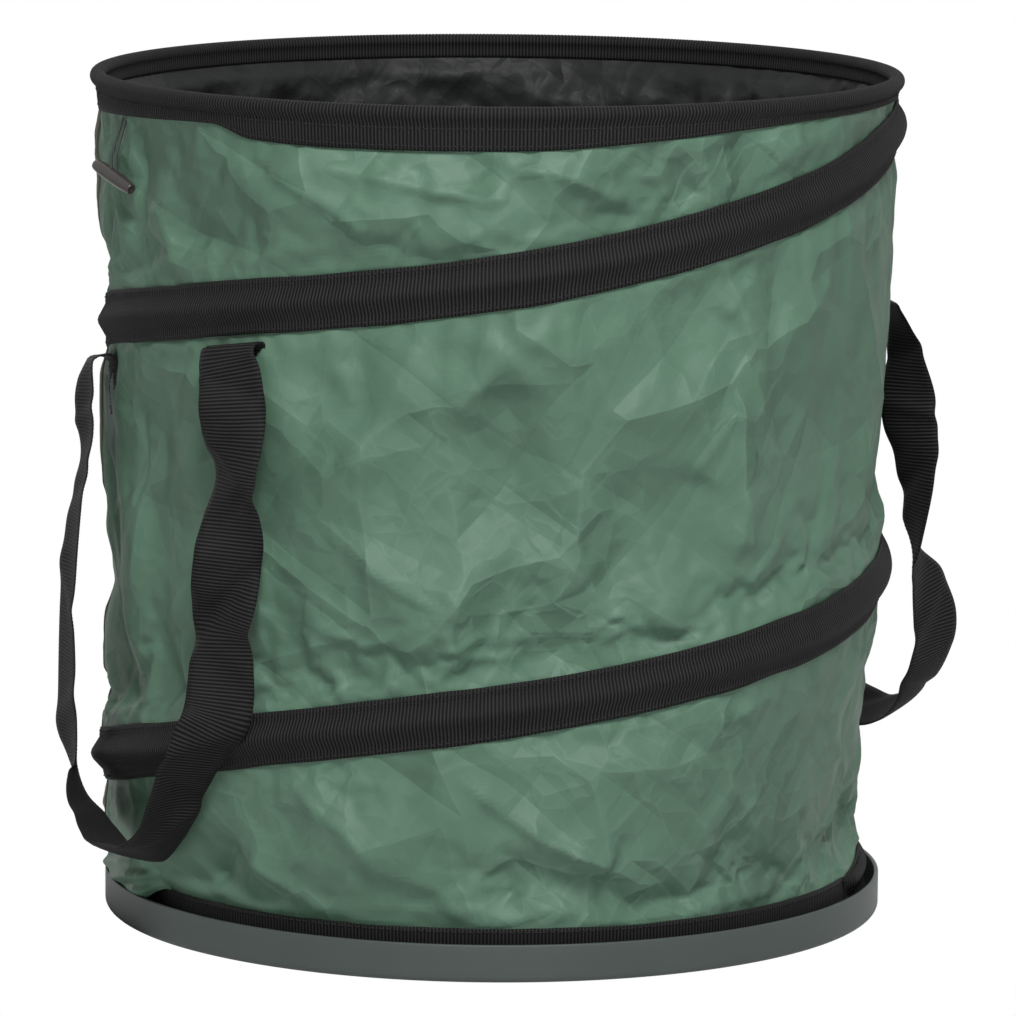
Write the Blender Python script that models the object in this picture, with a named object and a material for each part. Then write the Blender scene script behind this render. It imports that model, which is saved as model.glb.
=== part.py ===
# Pop up leaf bag: a spring coil in webbing casings holds a lined cloth drum open over a shallow tray.
# Metres, +Z up, origin at the centre of the tray's underside, front towards -Y.
# Azimuths are in degrees from +X towards the front, so they grow clockwise seen from above.

import math

import bmesh
import bpy
import numpy as np
from mathutils import Matrix

# Driving sizes
BAG_HEIGHT = 0.486
TRAY_RADIUS = 0.225
TRAY_HEIGHT = 0.0215
TRAY_WALL = 0.0025
TRAY_FLOOR = 0.0025
TRAY_CORNER = 0.0035
TRAY_LIP = 0.0008

# Layers and the clearances between them
CLOTH = 0.0008
LINING = 0.0006
TAPE = 0.0012
SEAT_GAP = 0.0003
LAYER_GAP = 0.0005

# Spring wire and its closed end turns
WIRE_DIAMETER = 0.0042
ROLL_EASE = 0.0002
RIM_RADIUS = 0.2334
CASING_EASE = 0.0039
BASE_WIRE_HEIGHT = 0.0092
SLEEVE_LENGTH = 0.018
SLEEVE_WALL = 0.0005

# Rim casing
FLANGE_HEIGHT = 0.0248
INNER_FLANGE_HEIGHT = 0.0137

# Base casing
BASE_CASING_HEIGHT = 0.0255

# Coil casing and the free turns of the coil
CASING_WIDTH = 0.032
CASING_FOOT = 0.009
COIL_TOP_DROP = 0.0205
COIL_BOTTOM_HEIGHT = 0.024
WALL_SAG = 0.003
SAG_SPAN = 0.240

# Handles
STRAP_WIDTH = 0.038
STRAP_THICKNESS = 0.0014
TAB_HEIGHT = 0.030
FOLD_RADIUS = 0.0035
FOLD_GAP = 0.0014
FOLD_GAP_AT_EDGE = 0.0008
LEFT_HANDLE_TILT = 0.012
RIGHT_HANDLE_TILT = 0.0
LEFT_FOLD_BELOW_COIL = 0.0252
RIGHT_FOLD_BELOW_TOP = 0.1410
FOLD_RUN = 0.0075
FOLD_REACH = 0.035
STRAP_STANDOFF = 0.0105
STRAP_BULGE = 0.020
LEFT_STRAP_DROP = 0.2830
RIGHT_STRAP_DROP = 0.2570

# Toggles on their elastic loops
ELASTIC_DIAMETER = 0.0018
ELASTIC_SPREAD = 0.0044
ELASTIC_DROP = 0.0330
ELASTIC_STRAIGHT = 0.0095
ELASTIC_TUCK = 0.0013
ELASTIC_ABOVE_PIVOT = 0.00035
TOGGLE_LENGTH = 0.034
TOGGLE_DIAMETER = 0.0082
TOGGLE_END_DIAMETER = 0.0052
TOGGLE_BORE = 0.0025

# Catch loops
CATCH_WIDTH = 0.010
CATCH_HEIGHT = 0.016
CATCH_THICKNESS = 0.0010
CATCH_DEPTH = 0.0028

# Angles and counts
SHARP_ANGLE = 50.0
FULL_TURN = 360.0
STATIONS = 40
STATION_STEP = FULL_TURN / STATIONS
WIRE_SIDES = 2
LEFT_HANDLE = 149.0
RIGHT_HANDLE = 329.0
HANDLE_SPREAD = 20.0
LEFT_TOGGLE = 156.0
RIGHT_TOGGLE = 336.0
TOGGLE_TILT = -20.0
TOGGLE_TURN = 18.0
ROLL_FROM = -35.0
ROLL_TO = 215.0
ROLL_POINTS = 8
FOOT_ROLL = 60.0
FOOT_ROLL_POINTS = 5

# Path of the coil as shares: turns from +X, height between its two ends, and radius against a
# straight line from the base wire to the rim wire
COIL_SHARES = (
    (-0.05, 1.0, 1.008),
    (0.0, 0.983, 1.012),
    (0.056, 0.955, 1.013),
    (0.111, 0.915, 1.0125),
    (0.167, 0.877, 1.012),
    (0.25, 0.827, 1.009),
    (0.361, 0.779, 1.0045),
    (0.5, 0.712, 1.0035),
    (0.75, 0.560, 1.016),
    (1.0, 0.406, 1.0305),
    (1.139, 0.342, 1.037),
    (1.319, 0.253, 1.051),
    (1.5, 0.139, 1.063),
    (1.625, 0.080, 1.0505),
    (1.75, 0.040, 1.0255),
    (1.875, 0.016, 1.008),
    (2.0, 0.004, 1.0025),
    (2.05, 0.0, 1.0015),
)

# Height of the outer rim flange as shares of its full height, by turns from +X
FLANGE_SHARES = (
    (0.0, 0.53),
    (0.11, 0.56),
    (0.15, 0.66),
    (0.19, 0.82),
    (0.24, 0.98),
    (0.30, 1.0),
    (0.35, 0.93),
    (0.37, 0.66),
    (0.42, 0.76),
    (0.50, 0.94),
    (0.60, 1.0),
    (0.80, 1.0),
    (0.85, 0.62),
    (0.90, 0.53),
    (1.0, 0.53),
)

# Routes of the straps as shares: drop, spread of the tabs, bulge, and twist in turns
LEFT_STRAP_SHARES = (
    (0.000, 1.00, -0.52, 0.000),
    (0.004, 1.00, -0.12, 0.000),
    (0.022, 1.02, 0.02, 0.000),
    (0.060, 1.08, 0.15, 0.030),
    (0.116, 1.12, 0.30, 0.070),
    (0.183, 1.13, 0.28, 0.000),
    (0.250, 1.12, 0.25, -0.055),
    (0.319, 1.12, 0.30, 0.010),
    (0.385, 1.12, 0.45, 0.100),
    (0.450, 1.09, 0.45, 0.080),
    (0.529, 1.04, 0.30, 0.005),
    (0.600, 1.05, 0.35, 0.060),
    (0.690, 1.05, 0.55, 0.115),
    (0.745, 0.97, 0.75, 0.170),
    (0.807, 0.84, 0.80, 0.210),
    (0.865, 0.71, 0.75, 0.230),
    (0.916, 0.60, 0.65, 0.240),
    (0.960, 0.44, 0.55, 0.230),
    (0.990, 0.22, 0.45, 0.200),
    (1.000, -0.08, 0.40, 0.190),
    (0.985, -0.36, 0.35, 0.180),
    (0.955, -0.60, 0.35, 0.150),
    (0.920, -0.78, 0.40, 0.090),
    (0.880, -0.88, 0.50, 0.030),
    (0.820, -0.90, 0.62, -0.010),
    (0.740, -0.90, 0.68, -0.020),
    (0.600, -0.90, 0.71, -0.012),
    (0.465, -0.92, 0.62, -0.008),
    (0.313, -0.94, 0.43, -0.005),
    (0.225, -0.95, 0.20, 0.012),
    (0.164, -0.95, 0.10, -0.010),
    (0.090, -0.97, 0.10, -0.020),
    (0.022, -1.00, 0.02, 0.000),
    (0.004, -1.00, -0.12, 0.000),
    (0.000, -1.00, -0.52, 0.000),
)
RIGHT_STRAP_SHARES = (
    (0.000, 1.00, -0.52, 0.000),
    (0.004, 1.00, -0.12, 0.000),
    (0.022, 1.00, 0.02, 0.000),
    (0.080, 1.02, 0.15, 0.000),
    (0.200, 1.03, 0.25, 0.030),
    (0.400, 1.00, 0.30, 0.050),
    (0.600, 0.96, 0.45, 0.030),
    (0.780, 0.84, 0.60, 0.080),
    (0.900, 0.62, 0.75, 0.150),
    (0.970, 0.32, 0.85, 0.180),
    (1.000, -0.05, 1.00, 0.180),
    (0.980, -0.42, 1.15, 0.170),
    (0.920, -0.72, 1.30, 0.160),
    (0.830, -0.92, 1.40, 0.155),
    (0.740, -0.98, 1.38, 0.155),
    (0.650, -1.00, 1.08, 0.110),
    (0.560, -1.00, 0.80, 0.020),
    (0.430, -1.00, 0.74, -0.050),
    (0.355, -1.00, 0.68, -0.075),
    (0.290, -1.00, 0.55, -0.120),
    (0.220, -1.00, 0.45, -0.120),
    (0.150, -1.00, 0.38, -0.070),
    (0.080, -1.00, 0.24, -0.030),
    (0.022, -1.00, 0.02, 0.000),
    (0.004, -1.00, -0.12, 0.000),
    (0.000, -1.00, -0.52, 0.000),
)
STRAP_STATIONS = 50
LEAD_STATIONS = 3
KNOT_STEPS = 12
UP = np.array((0.0, 0.0, 1.0))

# Sides that sheets are thickened on: 1 is the side their faces look to
WALL_SIDE = -1.0
CASING_SIDE = 1.0
SLEEVE_SIDE = 1.0
TAB_SIDE = 1.0
CATCH_SIDE = 1.0

# Counts of the smaller pieces
TRAY_SEGMENTS = 48
MERGE = 0.00001
SLEEVE_AZIMUTH = (STATIONS - 8.5) * STATION_STEP
SLEEVE_SIDES = 12
TAB_ACROSS = 5
TAB_DOWN = 4
FOLD_STEPS = 3
BEND_STEPS = 6
BARREL_SIDES = 12

# Barrel's stations and its flat ends as shares, and the outline of a catch loop: height, depth
BARREL_SHARES = (-1.0, -0.94, -0.75, -0.45, 0.0, 0.45, 0.75, 0.94, 1.0)
END_SHARE = 0.7
CATCH_SHARES = ((0.0, 0.0), (0.45, 0.0), (0.9, 0.05), (1.0, 0.45), (0.9, 0.9), (0.45, 1.0), (0.1, 0.95))

WIRE_RADIUS = WIRE_DIAMETER / 2
SLEEVE_RADIUS = WIRE_RADIUS + SEAT_GAP + SLEEVE_WALL
ROLL_RADIUS = SLEEVE_RADIUS + SEAT_GAP + ROLL_EASE
RIM_WIRE_RADIUS = RIM_RADIUS - TAPE - ROLL_RADIUS
BASE_WIRE_RADIUS = TRAY_RADIUS - TRAY_WALL - CASING_EASE - TAPE - ROLL_RADIUS
FLOOR_TOP = TRAY_FLOOR + SEAT_GAP
LINING_FOOT = FLOOR_TOP + CLOTH + LAYER_GAP
RIM_WIRE_HEIGHT = BAG_HEIGHT - TAPE - ROLL_RADIUS
CLOTH_TOP = RIM_WIRE_HEIGHT - SLEEVE_RADIUS - SEAT_GAP
LINED_WALL = CLOTH + LAYER_GAP + LINING
COIL_TOP = BAG_HEIGHT - COIL_TOP_DROP
RIM_WALL_RADIUS = RIM_WIRE_RADIUS - LAYER_GAP
BASE_WALL_RADIUS = BASE_WIRE_RADIUS - SLEEVE_RADIUS - SEAT_GAP
FOOT_SHOULDER = BASE_WIRE_HEIGHT + ROLL_RADIUS + WIRE_RADIUS
RIM_SHOULDER = RIM_WIRE_HEIGHT - ROLL_RADIUS - WIRE_RADIUS


def clear_scene():
    for obj in list(bpy.data.objects):
        bpy.data.objects.remove(obj, do_unlink=True)


def smooth_curve(table, column):
    """Monotone cubic through one column of a table of shares: it never overshoots between two rows."""
    x = np.array([row[0] for row in table])
    y = np.array([row[column] for row in table])
    step = np.diff(x)
    slope = np.diff(y) / step
    tangent = np.zeros(len(x))
    same = slope[:-1] * slope[1:] > 0
    before = step[:-1] / np.where(same, slope[1:], 1)
    after = step[1:] / np.where(same, slope[:-1], 1)
    mean = (step[:-1] + step[1:]) / (before + after)
    tangent[1:-1] = np.where(same, mean, 0)
    tangent[0] = slope[0]
    tangent[-1] = slope[-1]

    def value(at):
        i = np.clip(np.searchsorted(x, at) - 1, 0, len(step) - 1)
        u = (at - x[i]) / step[i]
        rise = y[i] * (1 + 2 * u) * (1 - u) ** 2 + y[i + 1] * u**2 * (3 - 2 * u)
        lean = step[i] * (tangent[i] * u * (1 - u) ** 2 - tangent[i + 1] * u**2 * (1 - u))
        return float(rise + lean)

    return value


coil_height_share = smooth_curve(COIL_SHARES, 1)
coil_radius_share = smooth_curve(COIL_SHARES, 2)
flange_share = smooth_curve(FLANGE_SHARES, 1)
COIL_START = COIL_SHARES[0][0] * FULL_TURN
COIL_END = COIL_SHARES[-1][0] * FULL_TURN


def place(azimuth, radius, height):
    angle = math.radians(azimuth)
    return np.array((radius * math.cos(angle), -radius * math.sin(angle), height))


def coil_height(azimuth):
    return COIL_BOTTOM_HEIGHT + coil_height_share(azimuth / FULL_TURN) * (COIL_TOP - COIL_BOTTOM_HEIGHT)


def coil_radius(azimuth):
    turns = azimuth / FULL_TURN
    straight = BASE_WIRE_RADIUS + coil_height_share(turns) * (RIM_WIRE_RADIUS - BASE_WIRE_RADIUS)
    return straight * coil_radius_share(turns)


def supports(azimuth):
    """Height and cloth radius of everything that holds the wall out at one azimuth, from the foot up."""
    azimuth = azimuth % FULL_TURN
    found = [(FLOOR_TOP, BASE_WALL_RADIUS), (FOOT_SHOULDER, BASE_WALL_RADIUS)]
    turn = azimuth - FULL_TURN
    while turn <= COIL_END:
        if turn >= COIL_START:
            found.append((coil_height(turn), coil_radius(turn) - WIRE_RADIUS - SEAT_GAP))
        turn += FULL_TURN
    found.append((CLOTH_TOP, RIM_WALL_RADIUS))
    return sorted(found)


def wall_radius(azimuth, height):
    """Outer radius of the cloth: straight between its supports, less a sag that grows with the span."""
    held = supports(azimuth)
    height = min(max(height, held[0][0]), held[-1][0])
    for (low, low_radius), (high, high_radius) in zip(held, held[1:]):
        if height <= high:
            share = (height - low) / (high - low)
            sag = WALL_SAG * (high - low) / SAG_SPAN * 4 * share * (1 - share)
            return low_radius + share * (high_radius - low_radius) - sag
    return held[-1][1]


def material(name, colour, roughness, metallic=0.0):
    finish = bpy.data.materials.new(name)
    finish.use_nodes = True
    shader = finish.node_tree.nodes["Principled BSDF"]
    shader.inputs["Base Color"].default_value = (*colour, 1.0)
    shader.inputs["Roughness"].default_value = roughness
    shader.inputs["Metallic"].default_value = metallic
    return finish


def finished(name, mesh, finish, parent=None):
    for face in mesh.polygons:
        face.use_smooth = True
    mesh.set_sharp_from_angle(angle=math.radians(SHARP_ANGLE))
    mesh.materials.append(finish)
    obj = bpy.data.objects.new(name, mesh)
    bpy.context.scene.collection.objects.link(obj)
    if parent is not None:
        # The mesh is in the bag's frame, and the origin of its parent is on a joint's axis.
        mesh.transform(parent.matrix_world.inverted())
        obj.parent = parent
    return obj


def pivot(name, at, parent=None):
    empty = bpy.data.objects.new(name, None)
    empty.location = at
    bpy.context.scene.collection.objects.link(empty)
    if parent is not None:
        empty.parent = parent
        empty.location = tuple(np.array(at) - np.array(parent.matrix_world.translation))
    bpy.context.view_layer.update()
    return empty


def skin(rows, closed):
    """Mesh of quads over rows of points. closed joins the last row to the first."""
    shape = bmesh.new()
    grid = [[shape.verts.new(point) for point in row] for row in rows]
    pairs = list(zip(grid, grid[1:]))
    if closed:
        pairs.append((grid[-1], grid[0]))
    for near, far in pairs:
        for i in range(len(near) - 1):
            shape.faces.new((near[i], near[i + 1], far[i + 1], far[i]))
    mesh = bpy.data.meshes.new("skin")
    shape.to_mesh(mesh)
    shape.free()
    return mesh


def layer(name, rows, thickness, finish, closed=True, offset=1.0, parent=None):
    """A sheet of even thickness on a grid of points. offset 1 thickens it on the side its faces look to."""
    obj = finished(name, skin(rows, closed), finish, parent)
    solid = obj.modifiers.new("thickness", "SOLIDIFY")
    solid.thickness = thickness
    solid.offset = offset
    solid.use_even_offset = True
    solid.use_rim = True
    return obj


def wire(name, points, finish, closed, diameter, sides, parent=None):
    curve = bpy.data.curves.new(name, "CURVE")
    curve.dimensions = "3D"
    curve.bevel_depth = diameter / 2
    curve.bevel_resolution = sides
    curve.use_fill_caps = not closed
    line = curve.splines.new("POLY")
    line.points.add(len(points) - 1)
    shift = np.zeros(3) if parent is None else np.array(parent.matrix_world.translation)
    for target, point in zip(line.points, points):
        target.co = (*(point - shift), 1.0)
    line.use_cyclic_u = closed
    curve.materials.append(finish)
    obj = bpy.data.objects.new(name, curve)
    obj.parent = parent
    bpy.context.scene.collection.objects.link(obj)
    return obj


def turned(name, profile, finish):
    """Spins a closed profile of radius and height about the bag's axis."""
    shape = bmesh.new()
    corners = [shape.verts.new((radius, 0.0, height)) for radius, height in profile]
    edges = [shape.edges.new(pair) for pair in zip(corners, corners[1:])]
    bmesh.ops.spin(
        shape,
        geom=corners + edges,
        axis=(0.0, 0.0, 1.0),
        cent=(0.0, 0.0, 0.0),
        steps=TRAY_SEGMENTS,
        angle=math.tau,
        use_merge=True,
    )
    bmesh.ops.remove_doubles(shape, verts=shape.verts, dist=MERGE)
    bmesh.ops.recalc_face_normals(shape, faces=shape.faces)
    mesh = bpy.data.meshes.new(name)
    shape.to_mesh(mesh)
    shape.free()
    return finished(name, mesh, finish)


def disc(name, radius, low, thickness, finish):
    shape = bmesh.new()
    bmesh.ops.create_cone(
        shape,
        cap_ends=True,
        segments=STATIONS,
        radius1=radius,
        radius2=radius,
        depth=thickness,
    )
    bmesh.ops.translate(shape, verts=shape.verts, vec=(0.0, 0.0, low + thickness / 2))
    mesh = bpy.data.meshes.new(name)
    shape.to_mesh(mesh)
    shape.free()
    return finished(name, mesh, finish)


def make_tray(finish):
    """Shallow dish: flat floor, rounded corner, upright wall with a small rolled lip."""
    arc = [math.radians(angle) for angle in (0, 30, 60, 90)]
    inner_corner = TRAY_CORNER - TRAY_WALL
    profile = [(0.0, 0.0)]
    centre = TRAY_RADIUS - TRAY_CORNER
    profile += [(centre + TRAY_CORNER * math.sin(a), TRAY_CORNER * (1 - math.cos(a))) for a in arc]
    profile += [(TRAY_RADIUS, TRAY_HEIGHT - TRAY_LIP), (TRAY_RADIUS - TRAY_LIP, TRAY_HEIGHT)]
    inside = TRAY_RADIUS - TRAY_WALL
    profile += [(inside + TRAY_LIP, TRAY_HEIGHT), (inside, TRAY_HEIGHT - TRAY_LIP)]
    profile += [
        (inside - inner_corner * (1 - math.cos(a)), TRAY_FLOOR + inner_corner * (1 - math.sin(a))) for a in arc
    ]
    profile += [(0.0, TRAY_FLOOR)]
    return turned("base_tray", profile, finish)


def ring_azimuths():
    return [i * STATION_STEP for i in range(STATIONS)]


def wall_heights(foot, top):
    """Rows of the wall: its foot, then from the shoulder of the base casing up in steps that grow."""
    shares = (0.0, 0.05, 0.12, 0.20, 0.30, 0.42, 0.54, 0.66, 0.78, 0.89, 1.0)
    return [foot] + [FOOT_SHOULDER + share * (top - FOOT_SHOULDER) for share in shares]


def make_wall(name, inset, thickness, foot, finish):
    """One sewn tube of cloth, thickened inwards from its outer face."""
    rows = []
    for azimuth in ring_azimuths():
        heights = wall_heights(foot, CLOTH_TOP)
        rows.append([place(azimuth, wall_radius(azimuth, height) - inset, height) for height in heights])
    return layer(name, rows, thickness, finish, offset=WALL_SIDE)


def roll_points(azimuth, wire_radius, wire_height, start, end, count):
    """The tape's inner face round a wire, by angles from the outside of the bag upwards."""
    points = []
    for i in range(count):
        angle = math.radians(start + (end - start) * i / (count - 1))
        radius = wire_radius + ROLL_RADIUS * math.cos(angle)
        points.append(place(azimuth, radius, wire_height + ROLL_RADIUS * math.sin(angle)))
    return points


def flange_foot(azimuth):
    """Lower edge of the outer rim flange, cut short over the coil casing where that runs up to it."""
    turns = azimuth % FULL_TURN / FULL_TURN
    foot = BAG_HEIGHT - FLANGE_HEIGHT * flange_share(turns)
    for turn in (turns * FULL_TURN, turns * FULL_TURN - FULL_TURN):
        if turn >= COIL_START - STATION_STEP:
            held = max(turn, COIL_START)
            foot = max(foot, coil_height(held) + casing_reach(held)[1] + LAYER_GAP)
    return foot


def make_rim_casing(finish):
    """Tape folded over the rim wire: an outer flange over the cloth, the roll, a shorter inner flange."""
    rows = []
    for azimuth in ring_azimuths():
        foot = flange_foot(azimuth)
        inner_foot = BAG_HEIGHT - INNER_FLANGE_HEIGHT
        row = []
        for height in (foot, max(RIM_SHOULDER, foot + TAPE)):
            row.append(place(azimuth, wall_radius(azimuth, height) + LAYER_GAP, height))
        row += roll_points(azimuth, RIM_WIRE_RADIUS, RIM_WIRE_HEIGHT, ROLL_FROM, ROLL_TO, ROLL_POINTS)
        for height in (RIM_SHOULDER, inner_foot):
            row.append(place(azimuth, wall_radius(azimuth, height) - LINED_WALL - LAYER_GAP, height))
        rows.append(row)
    return layer("rim_casing", rows, TAPE, finish, offset=CASING_SIDE)


def base_casing_top(azimuth):
    """Top edge of the base casing, lowered where the coil comes down on to it."""
    top = FLOOR_TOP + BASE_CASING_HEIGHT
    turn = azimuth % FULL_TURN + FULL_TURN
    for at in (turn, turn + FULL_TURN):
        if at <= COIL_END + STATION_STEP:
            held = min(at, COIL_END)
            top = min(top, coil_height(held) - casing_reach(held)[0] - LAYER_GAP)
    return top


def casing_reach(azimuth):
    """How far the coil casing reaches below and above the wire: half its width, less near its ends."""
    middle = coil_height(azimuth)
    below = min(CASING_WIDTH / 2, middle - FOOT_SHOULDER - TAPE - LAYER_GAP)
    above = min(CASING_WIDTH / 2, RIM_SHOULDER - TAPE - LAYER_GAP - middle)
    return below, above


def make_base_casing(finish):
    """Tape round the foot of the wall, over the base wire, with its top edge just above the tray."""
    rows = []
    reach = ROLL_RADIUS + WIRE_RADIUS
    for azimuth in ring_azimuths():
        top = base_casing_top(azimuth)
        row = []
        for height in (top, (FOOT_SHOULDER + top) / 2, FOOT_SHOULDER):
            row.append(place(azimuth, wall_radius(azimuth, height) + LAYER_GAP, height))
        row += roll_points(azimuth, BASE_WIRE_RADIUS, BASE_WIRE_HEIGHT, FOOT_ROLL, -FOOT_ROLL, FOOT_ROLL_POINTS)
        row.append(place(azimuth, BASE_WALL_RADIUS + LAYER_GAP, BASE_WIRE_HEIGHT - reach))
        row.append(place(azimuth, BASE_WALL_RADIUS + LAYER_GAP, FLOOR_TOP))
        rows.append(row)
    return layer("base_ring_casing", rows, TAPE, finish, offset=-CASING_SIDE)


def coil_azimuths():
    """Stations of the coil: the same azimuths as those of the wall behind it."""
    first = round(COIL_START / STATION_STEP)
    last = round(COIL_END / STATION_STEP)
    return [i * STATION_STEP for i in range(first, last + 1)]


def make_coil_casing(finish):
    """Tape tented over the coil wire: flat on the cloth at both edges, raised where the wire runs."""
    rows = []
    crest = WIRE_RADIUS + SEAT_GAP
    shoulder = WIRE_RADIUS + 3 * SEAT_GAP
    for azimuth in coil_azimuths():
        centre = coil_height(azimuth)
        wire_radius = coil_radius(azimuth)
        below, above = casing_reach(azimuth)
        foot_below = min(CASING_FOOT, (shoulder + below) / 2)
        foot_above = min(CASING_FOOT, (shoulder + above) / 2)
        row = []
        for offset in (above, foot_above):
            row.append(place(azimuth, wall_radius(azimuth, centre + offset) + LAYER_GAP, centre + offset))
        for offset, lift in ((shoulder, crest / 2), (0.0, crest), (-shoulder, crest / 2)):
            row.append(place(azimuth, wire_radius + lift, centre + offset))
        for offset in (-foot_below, -below):
            row.append(place(azimuth, wall_radius(azimuth, centre + offset) + LAYER_GAP, centre + offset))
        rows.append(row)
    return layer("coil_casing", rows, TAPE, finish, closed=False, offset=-CASING_SIDE)


def print_least_gap(points):
    """Least distance between turns of the coil wire, surface to surface, away from each point's neighbours."""
    points = np.array(points)
    distance = np.linalg.norm(points[:, None] - points[None], axis=2)
    index = np.arange(len(points))
    far = np.abs(index[:, None] - index[None]) > STATIONS / 4
    print(f"coil wire: least gap to itself {(distance[far].min() - WIRE_DIAMETER) * 1000:.1f} mm")


def make_wires(finish, sleeve_finish):
    coil = [place(azimuth, coil_radius(azimuth), coil_height(azimuth)) for azimuth in coil_azimuths()]
    print_least_gap(coil)
    wire("coil_wire", coil, finish, False, WIRE_DIAMETER, WIRE_SIDES)
    rings = (
        ("rim_wire", RIM_WIRE_RADIUS, RIM_WIRE_HEIGHT),
        ("base_wire", BASE_WIRE_RADIUS, BASE_WIRE_HEIGHT),
    )
    for name, radius, height in rings:
        points = [place(azimuth, radius, height) for azimuth in ring_azimuths()]
        wire(name, points, finish, True, WIRE_DIAMETER, WIRE_SIDES)
        make_sleeve(name + "_sleeve", radius, height, sleeve_finish)


def make_sleeve(name, ring_radius, height, finish):
    """Crimped tube round the joint of a ring, on the straight run between two of its points at the back."""
    azimuth = SLEEVE_AZIMUTH
    chord_radius = ring_radius * math.cos(math.radians(STATION_STEP / 2))
    rows = []
    for i in range(SLEEVE_SIDES):
        angle = math.tau * i / SLEEVE_SIDES
        row = []
        for end in (-SLEEVE_LENGTH / 2, SLEEVE_LENGTH / 2):
            radius = chord_radius + SLEEVE_RADIUS * math.cos(angle)
            centre = place(azimuth, radius, height + SLEEVE_RADIUS * math.sin(angle))
            along = place(azimuth + FULL_TURN / 4, end, 0.0)
            row.append(centre + along)
        rows.append(row)
    return layer(name, rows, SLEEVE_WALL, finish, offset=SLEEVE_SIDE)


def fold_height(azimuth, centre, middle, tilt):
    """Height of the fold line of a handle, which slants down from its front tab to its back tab by the tilt."""
    return middle + tilt * (centre - azimuth) / HANDLE_SPREAD


def fold_edge(side, azimuth, tilt):
    """Direction of the strap's end: along the wall, slanted like the fold line, nearer the tab on its far side."""
    outwards = place(azimuth, 1.0, 0.0)
    slope = -tilt / (math.radians(HANDLE_SPREAD) * RIM_WALL_RADIUS)
    skew = 2 * (FOLD_GAP - FOLD_GAP_AT_EDGE) / STRAP_WIDTH
    edge = np.cross(outwards, UP) + UP * slope + outwards * side * skew
    return edge / np.linalg.norm(edge)


def make_tab(name, azimuth, centre, middle, tilt, finish, parent):
    """Sewn end of the strap: flat on the wall, then a quarter turn outwards at the top, where the strap starts."""
    base = wall_radius(azimuth, fold_height(azimuth, centre, middle, tilt) - TAB_HEIGHT / 2)
    half_width = math.degrees(STRAP_WIDTH / 2 / base)
    outer_turn = FOLD_RADIUS + STRAP_THICKNESS
    rows = []
    for i in range(TAB_ACROSS):
        at = azimuth + half_width * (2 * i / (TAB_ACROSS - 1) - 1)
        top = fold_height(at, centre, middle, tilt)
        row = []
        for j in range(TAB_DOWN):
            height = top - TAB_HEIGHT * (1 - j / (TAB_DOWN - 1))
            row.append(place(at, wall_radius(at, height) + LAYER_GAP, height))
        rim = wall_radius(at, top) + LAYER_GAP
        # The fold straightens from the wall's curve to a straight edge, where the strap meets it.
        bow = base * (1 - math.cos(math.radians(at - azimuth)))
        straighten = base * (1 - math.cos(math.radians(half_width))) - bow
        for j in range(1, FOLD_STEPS + 1):
            angle = math.pi / 2 * j / FOLD_STEPS
            out = rim + outer_turn * (1 - math.cos(angle)) - straighten * j / FOLD_STEPS
            row.append(place(at, out, top + outer_turn * math.sin(angle)))
        rows.append(row)
    return layer(name, rows, STRAP_THICKNESS, finish, closed=False, offset=TAB_SIDE, parent=parent)


def strap_start(azimuth, top, out=0.0):
    """Where the strap starts, facing the edge of the fold at the top of a tab, or a point further out."""
    wall = wall_radius(azimuth, top)
    half_width = STRAP_WIDTH / 2 / wall
    radius = wall * math.cos(half_width) + LAYER_GAP + FOLD_RADIUS + STRAP_THICKNESS + FOLD_GAP + out
    height = top + FOLD_RADIUS + STRAP_THICKNESS / 2
    return place(azimuth, radius, height)


def strap_route(centre, middle, tilt, drop, shares):
    """Centre line and twist of a strap, from its route in shares, resampled at even steps.

    The tab nearer the front stands higher than the middle of the handle by the tilt, the other lower."""
    hang = RIM_WIRE_RADIUS - FOLD_RADIUS + STRAP_STANDOFF
    knots = []
    for down, spread, bulge, twist in shares:
        side = 1 if spread > 0 else -1
        fold = middle + side * tilt * (1 - down)
        height = fold + FOLD_RADIUS + STRAP_THICKNESS / 2 - drop * down
        azimuth = centre - spread * HANDLE_SPREAD
        knots.append((*place(azimuth, hang + bulge * STRAP_BULGE, height), twist))
    for end, side in ((0, 1), (-1, -1)):
        start = strap_start(centre - side * HANDLE_SPREAD, middle + side * tilt)
        knots[end] = (*start, knots[end][3])
    knots = np.array(knots)
    padded = np.vstack([2 * knots[0] - knots[1], knots, 2 * knots[-1] - knots[-2]])
    fine = []
    for i in range(1, len(padded) - 2):
        before, start, end, after = padded[i - 1 : i + 3]
        for u in np.linspace(0, 1, KNOT_STEPS, endpoint=False):
            line = 2 * start + (end - before) * u
            bend = (2 * before - 5 * start + 4 * end - after) * u**2
            turn = (3 * start - before - 3 * end + after) * u**3
            fine.append((line + bend + turn) / 2)
    fine.append(knots[-1])
    fine = np.array(fine)
    length = np.concatenate([[0], np.cumsum(np.linalg.norm(np.diff(fine[:, :3], axis=0), axis=1))])
    lead = FOLD_RUN * np.arange(LEAD_STATIONS) / LEAD_STATIONS
    even = np.linspace(FOLD_RUN, length[-1] - FOLD_RUN, STRAP_STATIONS)
    even = np.concatenate([lead, even, length[-1] - lead[::-1]])
    print(f"strap at {centre:.0f} degrees: {length[-1] * 1000:.0f} mm of webbing between its folds")
    return np.stack([np.interp(even, length, fine[:, k]) for k in range(4)], axis=1)


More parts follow.
